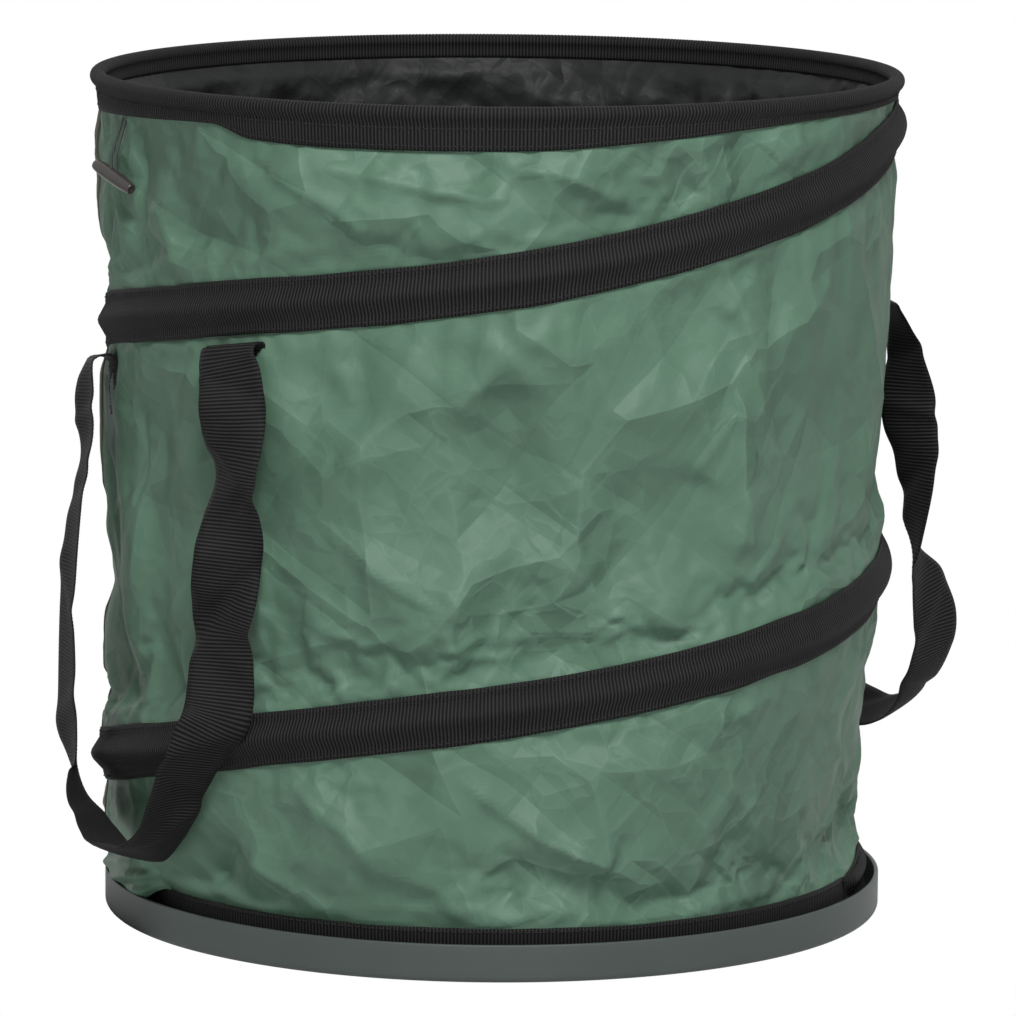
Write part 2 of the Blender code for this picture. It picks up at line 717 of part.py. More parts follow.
def make_strap(name, centre, middle, tilt, drop, shares, finish, parent):
    """Webbing carried along its route: its face looks outwards, turned about the route by the twist."""
    route = strap_route(centre, middle, tilt, drop, shares)
    path = route[:, :3]
    along = np.gradient(path, axis=0)
    along /= np.linalg.norm(along, axis=1)[:, None]
    rows = []
    for point, ahead, twist in zip(path, along, route[:, 3]):
        outwards = np.array((point[0], point[1], 0.0))
        outwards /= np.linalg.norm(outwards)
        # Next to a fold the strap leaves outwards, so its face looks up and its end lies along the fold there.
        from_front = np.linalg.norm(point - path[0])
        from_back = np.linalg.norm(point - path[-1])
        near_fold = max(0.0, 1 - min(from_front, from_back) / FOLD_REACH)
        across = np.cross(ahead, outwards + UP * near_fold)
        across /= np.linalg.norm(across)
        side = 1 if from_front < from_back else -1
        edge_there = fold_edge(side, centre - side * HANDLE_SPREAD, tilt)
        across += (edge_there * np.sign(edge_there @ across) - across) * near_fold
        across /= np.linalg.norm(across)
        face = np.cross(across, ahead)
        angle = math.tau * twist
        edge = across * math.cos(angle) + face * math.sin(angle)
        rows.append([point - edge * STRAP_WIDTH / 2, point, point + edge * STRAP_WIDTH / 2])
    return layer(name, rows, STRAP_THICKNESS, finish, closed=False, offset=0.0, parent=parent)


def make_handle(side, centre, middle, tilt, drop, shares, finish):
    """Two tabs on the wall and the strap between their folds."""
    # The swing's axis runs just outside the two ends of the strap, so that they clear the tabs as they turn.
    front = strap_start(centre - HANDLE_SPREAD, middle + tilt, STRAP_THICKNESS)
    back = strap_start(centre + HANDLE_SPREAD, middle - tilt, STRAP_THICKNESS)
    mount = pivot(f"handle_mount_{side}", place(centre, wall_radius(centre, middle), middle))
    axis = back - front
    print(f"handle_{side}: pivot", np.round((front + back) / 2, 5), "axis", np.round(axis / np.linalg.norm(axis), 5))
    make_tab(f"handle_tab_{side}_front", centre - HANDLE_SPREAD, centre, middle, tilt, finish, mount)
    make_tab(f"handle_tab_{side}_back", centre + HANDLE_SPREAD, centre, middle, tilt, finish, mount)
    swing = pivot(f"handle_swing_{side}", (front + back) / 2, mount)
    make_strap(f"handle_strap_{side}", centre, middle, tilt, drop, shares, finish, swing)


def make_toggle(side, azimuth, elastic_finish, finish):
    """Elastic loop from under the rim flange, and the tapered barrel that it passes through."""
    top = flange_foot(azimuth) - ELASTIC_TUCK
    hang = wall_radius(azimuth, top) + LAYER_GAP + TAPE / 2
    bottom = top - ELASTIC_DROP
    # The barrel's back end is turned out from the wall, so its middle stands off by that as well.
    turned_out = TOGGLE_LENGTH / 2 * math.sin(math.radians(TOGGLE_TURN))
    out = wall_radius(azimuth, bottom) + LAYER_GAP + TOGGLE_DIAMETER / 2 + turned_out
    swing = pivot(f"toggle_swing_{side}", place(azimuth, hang, top))
    print(f"toggle_{side}: pivot", np.round(place(azimuth, hang, top), 5))
    sideways = place(azimuth + FULL_TURN / 4, 1.0, 0.0)
    lengthways = place(azimuth + FULL_TURN / 4 - TOGGLE_TURN, 1.0, 0.0)
    half = ELASTIC_SPREAD / 2
    straight = bottom + half + ELASTIC_STRAIGHT
    points = [place(azimuth, hang, top + ELASTIC_ABOVE_PIVOT) - sideways * half]
    points.append(place(azimuth, out, straight) - lengthways * half)
    for i in range(BEND_STEPS + 1):
        angle = math.pi * i / BEND_STEPS
        centre = place(azimuth, out, bottom + half - half * math.sin(angle))
        points.append(centre - lengthways * half * math.cos(angle))
    points.append(place(azimuth, out, straight) + lengthways * half)
    points.append(place(azimuth, hang, top + ELASTIC_ABOVE_PIVOT) + sideways * half)
    wire(f"toggle_elastic_{side}", points, elastic_finish, False, ELASTIC_DIAMETER, WIRE_SIDES, swing)
    make_barrel(f"toggle_{side}", azimuth, out, bottom, finish, swing)


def make_barrel(name, azimuth, radius, height, finish, parent):
    """Barrel that tapers to both ends, with a cross bore for the elastic and its slot down to the bend."""
    shape = bmesh.new()
    middle = TOGGLE_DIAMETER / 2
    end = TOGGLE_END_DIAMETER / 2
    rings = []
    for share in BARREL_SHARES:
        swell = end + (middle - end) * math.sqrt(max(0.0, 1 - abs(share) ** 2))
        shrink = 1 if abs(share) < 1 else END_SHARE
        rings.append((share * TOGGLE_LENGTH / 2, swell * shrink))
    loops = []
    for along, size in rings:
        loop = []
        for i in range(BARREL_SIDES):
            angle = math.tau * i / BARREL_SIDES
            loop.append(shape.verts.new((along, size * math.cos(angle), size * math.sin(angle))))
        loops.append(loop)
    for near, far in zip(loops, loops[1:]):
        for i in range(BARREL_SIDES):
            j = (i + 1) % BARREL_SIDES
            shape.faces.new((near[i], near[j], far[j], far[i]))
    shape.faces.new(list(reversed(loops[0])))
    shape.faces.new(loops[-1])
    bmesh.ops.recalc_face_normals(shape, faces=shape.faces)
    mesh = bpy.data.meshes.new(name)
    shape.to_mesh(mesh)
    shape.free()
    turn = -math.radians(azimuth + FULL_TURN / 4 - TOGGLE_TURN)
    matrix = Matrix.Translation(place(azimuth, radius, height)) @ Matrix.Rotation(turn, 4, "Z")
    mesh.transform(matrix @ Matrix.Rotation(math.radians(TOGGLE_TILT), 4, "Y"))
    obj = finished(name, mesh, finish, parent)
    cutter_mesh = bore_mesh(name + "_bore", matrix)
    cutter_mesh.transform(parent.matrix_world.inverted())
    cutter = bpy.data.objects.new(name + "_bore", cutter_mesh)
    cutter.parent = parent
    cutter.hide_render = True
    cutter.display_type = "WIRE"
    bpy.context.scene.collection.objects.link(cutter)
    bore = obj.modifiers.new("bore", "BOOLEAN")
    bore.operation = "DIFFERENCE"
    bore.object = cutter
    return obj


def bore_mesh(name, matrix):
    """Slot through the barrel, from top to bottom, as wide as the doubled elastic with its clearance."""
    shape = bmesh.new()
    bmesh.ops.create_cube(shape, size=1.0)
    long = ELASTIC_SPREAD + TOGGLE_BORE
    bmesh.ops.scale(shape, verts=shape.verts, vec=(long, TOGGLE_BORE, TOGGLE_LENGTH / 2))
    mesh = bpy.data.meshes.new(name)
    shape.to_mesh(mesh)
    shape.free()
    mesh.transform(matrix)
    return mesh


def make_catch(name, azimuth, finish):
    """Small webbing loop that stands at the foot of the wall: two feet side by side on the base casing."""
    low = TRAY_HEIGHT + TAPE
    for turn in (azimuth + FULL_TURN, azimuth):
        if turn <= COIL_END and coil_height(turn) - CASING_WIDTH / 2 < low + CATCH_HEIGHT:
            low = coil_height(turn) + CASING_WIDTH / 2 + LAYER_GAP
    rows = []
    half = CATCH_WIDTH / 2
    for side in (-1, 0, 1):
        at = azimuth + side * math.degrees(half / BASE_WALL_RADIUS)
        row = []
        for down, out in CATCH_SHARES:
            height = low + CATCH_HEIGHT * down
            face = max(wall_radius(at, low), wall_radius(at, height)) + LAYER_GAP + TAPE + LAYER_GAP
            row.append(place(at, face + CATCH_DEPTH * out, height))
        rows.append(row)
    return layer(name, rows, CATCH_THICKNESS, finish, closed=False, offset=CATCH_SIDE)


def main():
    clear_scene()
    tray = material("tray_plastic", (0.10, 0.11, 0.10), 0.55)
    green = material("green_cloth", (0.08, 0.17, 0.11), 0.6)
    black = material("black_lining", (0.02, 0.02, 0.02), 0.3)
    tape = material("black_webbing", (0.02, 0.02, 0.02), 0.75)
    steel = material("spring_steel", (0.45, 0.45, 0.45), 0.35, 1.0)
    crimp = material("crimp_steel", (0.6, 0.6, 0.6), 0.4, 1.0)
    elastic = material("elastic", (0.02, 0.03, 0.025), 0.7)
    barrel = material("toggle_plastic", (0.025, 0.02, 0.02), 0.4)
    make_tray(tray)
    disc("bag_floor", BASE_WALL_RADIUS - CLOTH - LAYER_GAP, FLOOR_TOP, CLOTH, green)
    lining_radius = BASE_WALL_RADIUS - CLOTH - LAYER_GAP - LINING - LAYER_GAP
    disc("floor_lining", lining_radius, LINING_FOOT, LINING, black)
    make_wall("outer_cloth", 0.0, CLOTH, FLOOR_TOP, green)
    make_wall("inner_lining", CLOTH + LAYER_GAP, LINING, LINING_FOOT, black)
    make_rim_casing(tape)
    make_base_casing(tape)
    make_coil_casing(tape)
    make_wires(steel, crimp)
    left_fold = coil_height(LEFT_HANDLE) - LEFT_FOLD_BELOW_COIL
    right_fold = BAG_HEIGHT - RIGHT_FOLD_BELOW_TOP
    make_handle("left", LEFT_HANDLE, left_fold, LEFT_HANDLE_TILT, LEFT_STRAP_DROP, LEFT_STRAP_SHARES, tape)
    make_handle("right", RIGHT_HANDLE, right_fold, RIGHT_HANDLE_TILT, RIGHT_STRAP_DROP, RIGHT_STRAP_SHARES, tape)
    make_toggle("left", LEFT_TOGGLE, elastic, barrel)
    make_toggle("right", RIGHT_TOGGLE, elastic, barrel)
    make_catch("catch_loop_left", LEFT_TOGGLE, tape)
    make_catch("catch_loop_right", RIGHT_TOGGLE, tape)


main()
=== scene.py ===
# Pop up leaf bag: looks of every piece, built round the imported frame.
# Metres, +Z up, front towards -Y. Azimuths are in degrees from +X towards the front, so they grow
# clockwise seen from above: 90 is the front, 180 the left, 270 the back.

import math

import bmesh
import bpy
import numpy as np
from mathutils import Matrix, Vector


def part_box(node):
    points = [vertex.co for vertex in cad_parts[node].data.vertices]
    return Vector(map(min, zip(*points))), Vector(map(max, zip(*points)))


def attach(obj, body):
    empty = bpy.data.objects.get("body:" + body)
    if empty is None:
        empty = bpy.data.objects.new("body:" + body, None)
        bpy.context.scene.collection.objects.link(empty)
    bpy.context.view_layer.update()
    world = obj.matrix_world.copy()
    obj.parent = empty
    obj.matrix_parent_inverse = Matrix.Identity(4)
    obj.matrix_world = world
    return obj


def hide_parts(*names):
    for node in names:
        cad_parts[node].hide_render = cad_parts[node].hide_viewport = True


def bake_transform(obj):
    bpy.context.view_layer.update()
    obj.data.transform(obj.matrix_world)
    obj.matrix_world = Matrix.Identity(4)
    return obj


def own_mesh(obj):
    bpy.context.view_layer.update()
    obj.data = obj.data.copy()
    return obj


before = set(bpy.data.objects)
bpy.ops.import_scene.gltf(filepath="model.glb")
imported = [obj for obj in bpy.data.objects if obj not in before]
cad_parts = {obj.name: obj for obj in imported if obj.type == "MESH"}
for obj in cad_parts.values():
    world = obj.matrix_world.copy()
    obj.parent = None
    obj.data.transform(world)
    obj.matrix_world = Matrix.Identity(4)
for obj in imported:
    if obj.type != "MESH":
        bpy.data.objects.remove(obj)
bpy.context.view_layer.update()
FULL_TURN = 360.0
TINY = 1e-6
UP = np.array((0.0, 0.0, 1.0))
LEVEL = np.array((1.0, 1.0, 0.0))

# Sizes read from the frame
TRAY_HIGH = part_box("base_tray")[1]
RIM_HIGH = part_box("rim_casing")[1]
RIM_WIRE_LOW, RIM_WIRE_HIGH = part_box("rim_wire")
BASE_WIRE_LOW, BASE_WIRE_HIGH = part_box("base_wire")
COIL_LOW, COIL_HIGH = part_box("coil_wire")
FLOOR_LOW, FLOOR_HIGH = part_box("bag_floor")
LINER_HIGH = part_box("floor_lining")[1]
CLOTH_LOW, CLOTH_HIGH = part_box("outer_cloth")

WIRE_RADIUS = (RIM_WIRE_HIGH.z - RIM_WIRE_LOW.z) / 2
RIM_WIRE_HEIGHT = (RIM_WIRE_HIGH.z + RIM_WIRE_LOW.z) / 2
RIM_WIRE_RADIUS = RIM_WIRE_HIGH.x - WIRE_RADIUS
BASE_WIRE_HEIGHT = (BASE_WIRE_HIGH.z + BASE_WIRE_LOW.z) / 2
BASE_WIRE_RADIUS = BASE_WIRE_HIGH.x - WIRE_RADIUS
COIL_TOP = COIL_HIGH.z - WIRE_RADIUS
COIL_BOTTOM = COIL_LOW.z + WIRE_RADIUS
BAG_HEIGHT = RIM_HIGH.z
TRAY_RADIUS = TRAY_HIGH.x
TRAY_HEIGHT = TRAY_HIGH.z
FLOOR_TOP = CLOTH_LOW.z
CLOTH_TOP = CLOTH_HIGH.z

# Layers and clearances, as in the solids
CLOTH = 0.0008
LINING = 0.0006
TAPE = 0.0012
SEAT_GAP = 0.0003
LAYER_GAP = 0.0005
LINED_WALL = CLOTH + LAYER_GAP + LINING
ROLL_RADIUS = RIM_HIGH.z - RIM_WIRE_HEIGHT - TAPE
CASING_WIDTH = 0.032
FLANGE_HEIGHT = 0.0248
INNER_FLANGE_HEIGHT = 0.0137
BASE_CASING_HEIGHT = 0.0255
LAP = 0.002
WALL_SAG = 0.003
SAG_SPAN = 0.240
RIM_WALL_RADIUS = RIM_WIRE_RADIUS - LAYER_GAP
BASE_WALL_RADIUS = BASE_WIRE_RADIUS - 0.0032
FOOT_SHOULDER = BASE_WIRE_HEIGHT + ROLL_RADIUS + WIRE_RADIUS
RIM_SHOULDER = RIM_WIRE_HEIGHT - ROLL_RADIUS - WIRE_RADIUS

# Path of the coil as shares: turns from +X, height between its ends, radius against a straight line
# from the base wire to the rim wire
COIL_SHARES = (
    (-0.05, 1.0, 1.008),
    (0.0, 0.983, 1.012),
    (0.056, 0.955, 1.013),
    (0.111, 0.915, 1.0125),
    (0.167, 0.877, 1.012),
    (0.25, 0.827, 1.009),
    (0.361, 0.779, 1.0045),
    (0.5, 0.712, 1.0035),
    (0.75, 0.560, 1.016),
    (1.0, 0.406, 1.0305),
    (1.139, 0.342, 1.037),
    (1.319, 0.253, 1.051),
    (1.5, 0.139, 1.063),
    (1.625, 0.080, 1.0505),
    (1.75, 0.040, 1.0255),
    (1.875, 0.016, 1.008),
    (2.0, 0.004, 1.0025),
    (2.05, 0.0, 1.0015),
)

# Height of the outer rim flange as shares of its full height, by turns from +X
FLANGE_SHARES = (
    (0.0, 0.53),
    (0.11, 0.56),
    (0.15, 0.66),
    (0.19, 0.82),
    (0.24, 0.98),
    (0.30, 1.0),
    (0.35, 0.93),
    (0.37, 0.66),
    (0.42, 0.76),
    (0.50, 0.94),
    (0.60, 1.0),
    (0.80, 1.0),
    (0.85, 0.62),
    (0.90, 0.53),
    (1.0, 0.53),
)

# Camera, fitted to the photograph
CAMERA_AT = (0.0079, -4.0, 0.8502)
CAMERA_PITCH = 8.801
CAMERA_ROLL = 0.430
LENS = 247.9
SENSOR = 36.0
PHOTO_SIZE = 1016


def smooth_curve(table, column):
    """Monotone cubic through one column of a table of shares, for whole arrays: it never overshoots."""
    x = np.array([row[0] for row in table])
    y = np.array([row[column] for row in table])
    step = np.diff(x)
    slope = np.diff(y) / step
    tangent = np.zeros(len(x))
    same = slope[:-1] * slope[1:] > 0
    before = step[:-1] / np.where(same, slope[1:], 1)
    after = step[1:] / np.where(same, slope[:-1], 1)
    tangent[1:-1] = np.where(same, (step[:-1] + step[1:]) / (before + after), 0)
    tangent[0] = slope[0]
    tangent[-1] = slope[-1]

    def value(at):
        at = np.clip(at, x[0], x[-1])
        i = np.clip(np.searchsorted(x, at) - 1, 0, len(step) - 1)
        u = (at - x[i]) / step[i]
        rise = y[i] * (1 + 2 * u) * (1 - u) ** 2 + y[i + 1] * u**2 * (3 - 2 * u)
        return rise + step[i] * (tangent[i] * u * (1 - u) ** 2 - tangent[i + 1] * u**2 * (1 - u))

    return value


coil_height_share = smooth_curve(COIL_SHARES, 1)
coil_radius_share = smooth_curve(COIL_SHARES, 2)
flange_share = smooth_curve(FLANGE_SHARES, 1)
COIL_START = COIL_SHARES[0][0]
COIL_END = COIL_SHARES[-1][0]


def place(azimuth, radius, height):
    """Point at an azimuth in degrees, a radius and a height, for whole arrays."""
    angle = np.radians(azimuth)
    return np.stack(np.broadcast_arrays(radius * np.cos(angle), -radius * np.sin(angle), height), axis=-1)


def coil_height(turns):
    """Height of the coil wire: its share of the way from the coil's lower end to its upper end."""
    return COIL_BOTTOM + coil_height_share(turns) * (COIL_TOP - COIL_BOTTOM)


def coil_radius(turns):
    """Radius of the coil wire: on a line between the base wire's and the rim wire's, times a share."""
    straight = BASE_WIRE_RADIUS + coil_height_share(turns) * (RIM_WIRE_RADIUS - BASE_WIRE_RADIUS)
    return straight * coil_radius_share(turns)


def smooth_step(value, start, end):
    """0 before the start, 1 past the end, and 3 u^2 - 2 u^3 between them."""
    u = np.clip((value - start) / (end - start), 0.0, 1.0)
    return u * u * (3 - 2 * u)


def unit(vectors):
    """Vectors of length 1, along the last axis."""
    return vectors / np.maximum(np.linalg.norm(vectors, axis=-1, keepdims=True), 1e-9)


def run_along(points):
    """Length from the first of a line of points to each of them."""
    return np.concatenate([[0], np.cumsum(np.linalg.norm(np.diff(points, axis=0), axis=1))])


def azimuth_of(points):
    """Azimuths of points, in degrees from 0 to 360."""
    return np.degrees(np.arctan2(-points[..., 1], points[..., 0])) % FULL_TURN


# Cloth between two supports hangs in further on the right, where the coil leans out
SLACK_AZIMUTH = 352.0
SLACK_SPREAD = 55.0
SLACK_SHARE = 1.5


def slack(azimuth):
    """How much more the cloth sags at an azimuth: 1, and a bell curve round the slackest place."""
    away = (azimuth - SLACK_AZIMUTH + FULL_TURN / 2) % FULL_TURN - FULL_TURN / 2
    return 1 + SLACK_SHARE * np.exp(-((away / SLACK_SPREAD) ** 2))


def supports(azimuth):
    """Heights and cloth radii of all that holds the wall out at each azimuth, from the foot up.

    The coil passes an azimuth two or three times. The foot or the top stands for a missing pass."""
    turns = azimuth % FULL_TURN / FULL_TURN
    foot = (np.full_like(turns, FOOT_SHOULDER), np.full_like(turns, BASE_WALL_RADIUS))
    top = (np.full_like(turns, CLOTH_TOP), np.full_like(turns, RIM_WALL_RADIUS))
    rows = [(np.full_like(turns, FLOOR_TOP), foot[1]), foot]
    for turn, missing in ((turns + 2, foot), (turns + 1, foot), (turns, top), (turns - 1, top)):
        there = (turn >= COIL_START) & (turn <= COIL_END)
        height = np.where(there, coil_height(turn), missing[0])
        radius = np.where(there, coil_radius(turn) - WIRE_RADIUS - SEAT_GAP, missing[1])
        rows.append((height, radius))
    rows.append(top)
    return np.stack([row[0] for row in rows], axis=-1), np.stack([row[1] for row in rows], axis=-1)


def wall_radius(azimuth, height):
    """Outer radius of the smooth cloth: straight between supports, less a sag that grows with the span."""
    azimuth, height = np.broadcast_arrays(np.asarray(azimuth, float), np.asarray(height, float))
    heights, radii = supports(azimuth)
    at = np.clip(height, FLOOR_TOP, CLOTH_TOP)
    found = radii[..., -1].copy()
    for k in range(heights.shape[-1] - 1):
        low = heights[..., k]
        high = heights[..., k + 1]
        inside = (at >= low) & (at <= high) & (high - low > TINY)
        share = np.where(inside, (at - low) / np.maximum(high - low, TINY), 0.0)
        sag = WALL_SAG * slack(azimuth) * (high - low) / SAG_SPAN * 4 * share * (1 - share)
        found = np.where(inside, radii[..., k] + share * (radii[..., k + 1] - radii[..., k]) - sag, found)
    return found


# Reach of the coil casing above the wire at its lower end, and how it grows for each turn from there
END_REACH = 0.0045
END_SPREAD = 0.12
# Turns before the coil's upper end from which the rim flange makes room for it
COIL_LEAD = 0.025


def casing_reach(turns):
    """How far the coil casing reaches below and above the wire: half its width, less near its ends."""
    middle = coil_height(turns)
    below = np.minimum(CASING_WIDTH / 2, middle - FOOT_SHOULDER - TAPE - LAYER_GAP)
    above = np.minimum(CASING_WIDTH / 2, RIM_SHOULDER - TAPE - LAYER_GAP - middle)
    at_end = END_REACH + END_SPREAD * np.maximum(COIL_END - turns, 0.0)
    return below, np.minimum(above, at_end)


def flange_foot(azimuth):
    """Lower edge of the outer rim flange, cut short over the coil casing where that runs up to it."""
    turns = azimuth % FULL_TURN / FULL_TURN
    foot = BAG_HEIGHT - FLANGE_HEIGHT * flange_share(turns)
    for turn in (turns, turns - 1):
        held = np.maximum(turn, COIL_START)
        over = coil_height(held) + casing_reach(held)[1] + LAYER_GAP
        foot = np.where(turn >= COIL_START - COIL_LEAD, np.maximum(foot, over), foot)
    return foot


def base_casing_top(azimuth):
    """Top edge of the base casing, lowered where the coil comes down on to it."""
    turns = azimuth % FULL_TURN / FULL_TURN
    top = np.full_like(turns, FLOOR_TOP + BASE_CASING_HEIGHT)
    for turn in (turns + 1, turns + 2):
        held = np.minimum(turn, COIL_END)
        under = coil_height(held) - casing_reach(held)[0] - LAYER_GAP
        under = under + BASE_CASING_HEIGHT * smooth_step(turn, COIL_END - LAP, COIL_END)
        top = np.minimum(top, under)
    return top


def photo_axes():
    """Unit vectors of the camera: right, up and forward, before its small roll."""
    pitch = math.radians(CAMERA_PITCH)
    forward = np.array((0.0, math.cos(pitch), -math.sin(pitch)))
    up = np.array((0.0, math.sin(pitch), math.cos(pitch)))
    return np.array((1.0, 0.0, 0.0)), up, forward


RAY_STEPS = 8


def on_wall(pixels):
    """Azimuths and heights where the rays through these pixels of the photograph meet the wall."""
    right, up, forward = photo_axes()
    scale = LENS / SENSOR * PHOTO_SIZE
    roll = math.radians(CAMERA_ROLL)
    offset = np.asarray(pixels, float) - PHOTO_SIZE / 2
    across = offset[:, 0] * math.cos(roll) + offset[:, 1] * math.sin(roll)
    down = -offset[:, 0] * math.sin(roll) + offset[:, 1] * math.cos(roll)
    ray = forward + right * across[:, None] / scale - up * down[:, None] / scale
    start = np.array(CAMERA_AT)
    radius = np.full(len(ray), RIM_WALL_RADIUS)
    flat = (ray[:, :2] ** 2).sum(axis=1)
    lean = (ray[:, :2] * start[:2]).sum(axis=1)
    for _ in range(RAY_STEPS):
        inner = lean**2 - flat * ((start[:2] ** 2).sum() - radius**2)
        reach = (-lean - np.sqrt(np.maximum(inner, 0.0))) / flat
        point = start + ray * reach[:, None]
        azimuth = azimuth_of(point)
        radius = wall_radius(azimuth, point[:, 2])
    return azimuth, point[:, 2]


# Meshes

def grid_mesh(name, points, closed=False, closed_across=False, flip=False, lengths=None):
    """Quads over a grid of points, rows along and columns across. closed joins the last row to the first.

    Its UV map is in metres: along by the row's length, across by the column's."""
    rows, columns = points.shape[:2]
    i = np.arange(rows if closed else rows - 1)
    j = np.arange(columns if closed_across else columns - 1)
    i, j = (grid.ravel() for grid in np.meshgrid(i, j, indexing="ij"))
    corners = [(i, j), (i + 1, j), (i + 1, j + 1), (i, j + 1)]
    if flip:
        corners.reverse()
    index = np.stack([a % rows * columns + b % columns for a, b in corners], axis=1)
    mesh = bpy.data.meshes.new(name)
    mesh.vertices.add(rows * columns)
    mesh.vertices.foreach_set("co", points.reshape(-1).astype(np.float32))
    mesh.loops.add(index.size)
    mesh.loops.foreach_set("vertex_index", index.ravel().astype(np.int32))
    mesh.polygons.add(len(index))
    mesh.polygons.foreach_set("loop_start", np.arange(len(index), dtype=np.int32) * 4)
    mesh.polygons.foreach_set("use_smooth", np.ones(len(index), bool))
    mesh.update(calc_edges=True)
    along, across = lengths or grid_lengths(points, closed)
    last = len(across) - 1
    uv = np.stack([np.stack([along[a], across[np.minimum(b, last)]], axis=1) for a, b in corners], axis=1)
    layer = mesh.uv_layers.new(name="cloth")
    layer.data.foreach_set("uv", uv.reshape(-1).astype(np.float32))
    mesh.validate()
    return mesh


def grid_lengths(points, closed):
    """Lengths along the middle column and across the first row, in metres."""
    middle = points[:, points.shape[1] // 2]
    if closed:
        middle = np.vstack([middle, middle[:1]])
    across = run_along(points[0])
    return run_along(middle), np.append(across, across[-1])


def piece(name, mesh, material, body, replaces=()):
    """Object for a mesh in the bag's frame, with its finish, its body and the solids that it stands for."""
    obj = bpy.data.objects.new(name, mesh)
    bpy.context.scene.collection.objects.link(obj)
    mesh.materials.append(material)
    if body is not None:
        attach(obj, body)
    if replaces:
        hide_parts(*replaces)
    return obj


LATTICE_FACTORS = (374761393, 668265263, 974634777)
STIR_FACTOR = 1274126177
WHOLE_BITS = 0x7FFFFFFF
NOISE_BITS = 0xFFFFFF
SCATTER_BITS = 0x7FFF


def stirred(cell_x, cell_y, seed):
    """A random whole number for each square of a lattice."""
    across, up, other = LATTICE_FACTORS
    mixed = cell_x * across + cell_y * up + seed * other
    mixed = (mixed ^ (mixed >> 13)) * STIR_FACTOR & WHOLE_BITS
    return mixed ^ (mixed >> 16)


def value_noise(points, size, seed):
    """Smooth noise from -1 to 1 over points in the plane: random values on a lattice, eased between."""
    cells = np.asarray(points, float) / size
    low = np.floor(cells).astype(np.int64)
    ease = cells - low
    ease = ease * ease * ease * (ease * (ease * 6 - 15) + 10)

    def corner(dx, dy):
        return (stirred(low[..., 0] + dx, low[..., 1] + dy, seed) & NOISE_BITS) / NOISE_BITS * 2 - 1

    bottom = corner(0, 0) * (1 - ease[..., 0]) + corner(1, 0) * ease[..., 0]
    top = corner(0, 1) * (1 - ease[..., 0]) + corner(1, 1) * ease[..., 0]
    return bottom * (1 - ease[..., 1]) + top * ease[..., 1]


# Finishes: groups hold what repeats, and give only colours, heights and normals

def linked(tree, value, socket):
    """Links a socket to another, or sets it to a plain value."""
    if isinstance(value, bpy.types.NodeSocket):
        tree.links.new(value, socket)
    elif value is not None:
        socket.default_value = value


def calc(tree, operation, *values):
    """A sum on sockets or plain numbers."""
    node = tree.nodes.new("ShaderNodeMath")
    node.operation = operation
    for value, socket in zip(values, node.inputs):
        linked(tree, value, socket)
    return node.outputs[0]


def mix(tree, factor, first, second):
    """A colour between two colours."""
    node = tree.nodes.new("ShaderNodeMix")
    node.data_type = "RGBA"
    for value, name in ((factor, "Factor_Float"), (first, "A_Color"), (second, "B_Color")):
        linked(tree, value, next(socket for socket in node.inputs if socket.identifier == name))
    return next(socket for socket in node.outputs if socket.identifier == "Result_Color")


def noise(tree, scale, detail=2.0, roughness=0.5):
    """Uneven values from 0 to 1 over the piece, at a scale in patches to the metre."""
    node = tree.nodes.new("ShaderNodeTexNoise")
    for name, value in (("Scale", scale), ("Detail", detail), ("Roughness", roughness)):
        node.inputs[name].default_value = value
    linked(tree, tree.nodes.new("ShaderNodeTexCoord").outputs["Object"], node.inputs["Vector"])
    return node.outputs["Fac"]


RIDGE_WIDTH_SHARE = 0.07
FACET_INPUTS = (("Scale", "NodeSocketFloat"), ("Stray", "NodeSocketFloat"), ("Turn", "NodeSocketVector"))


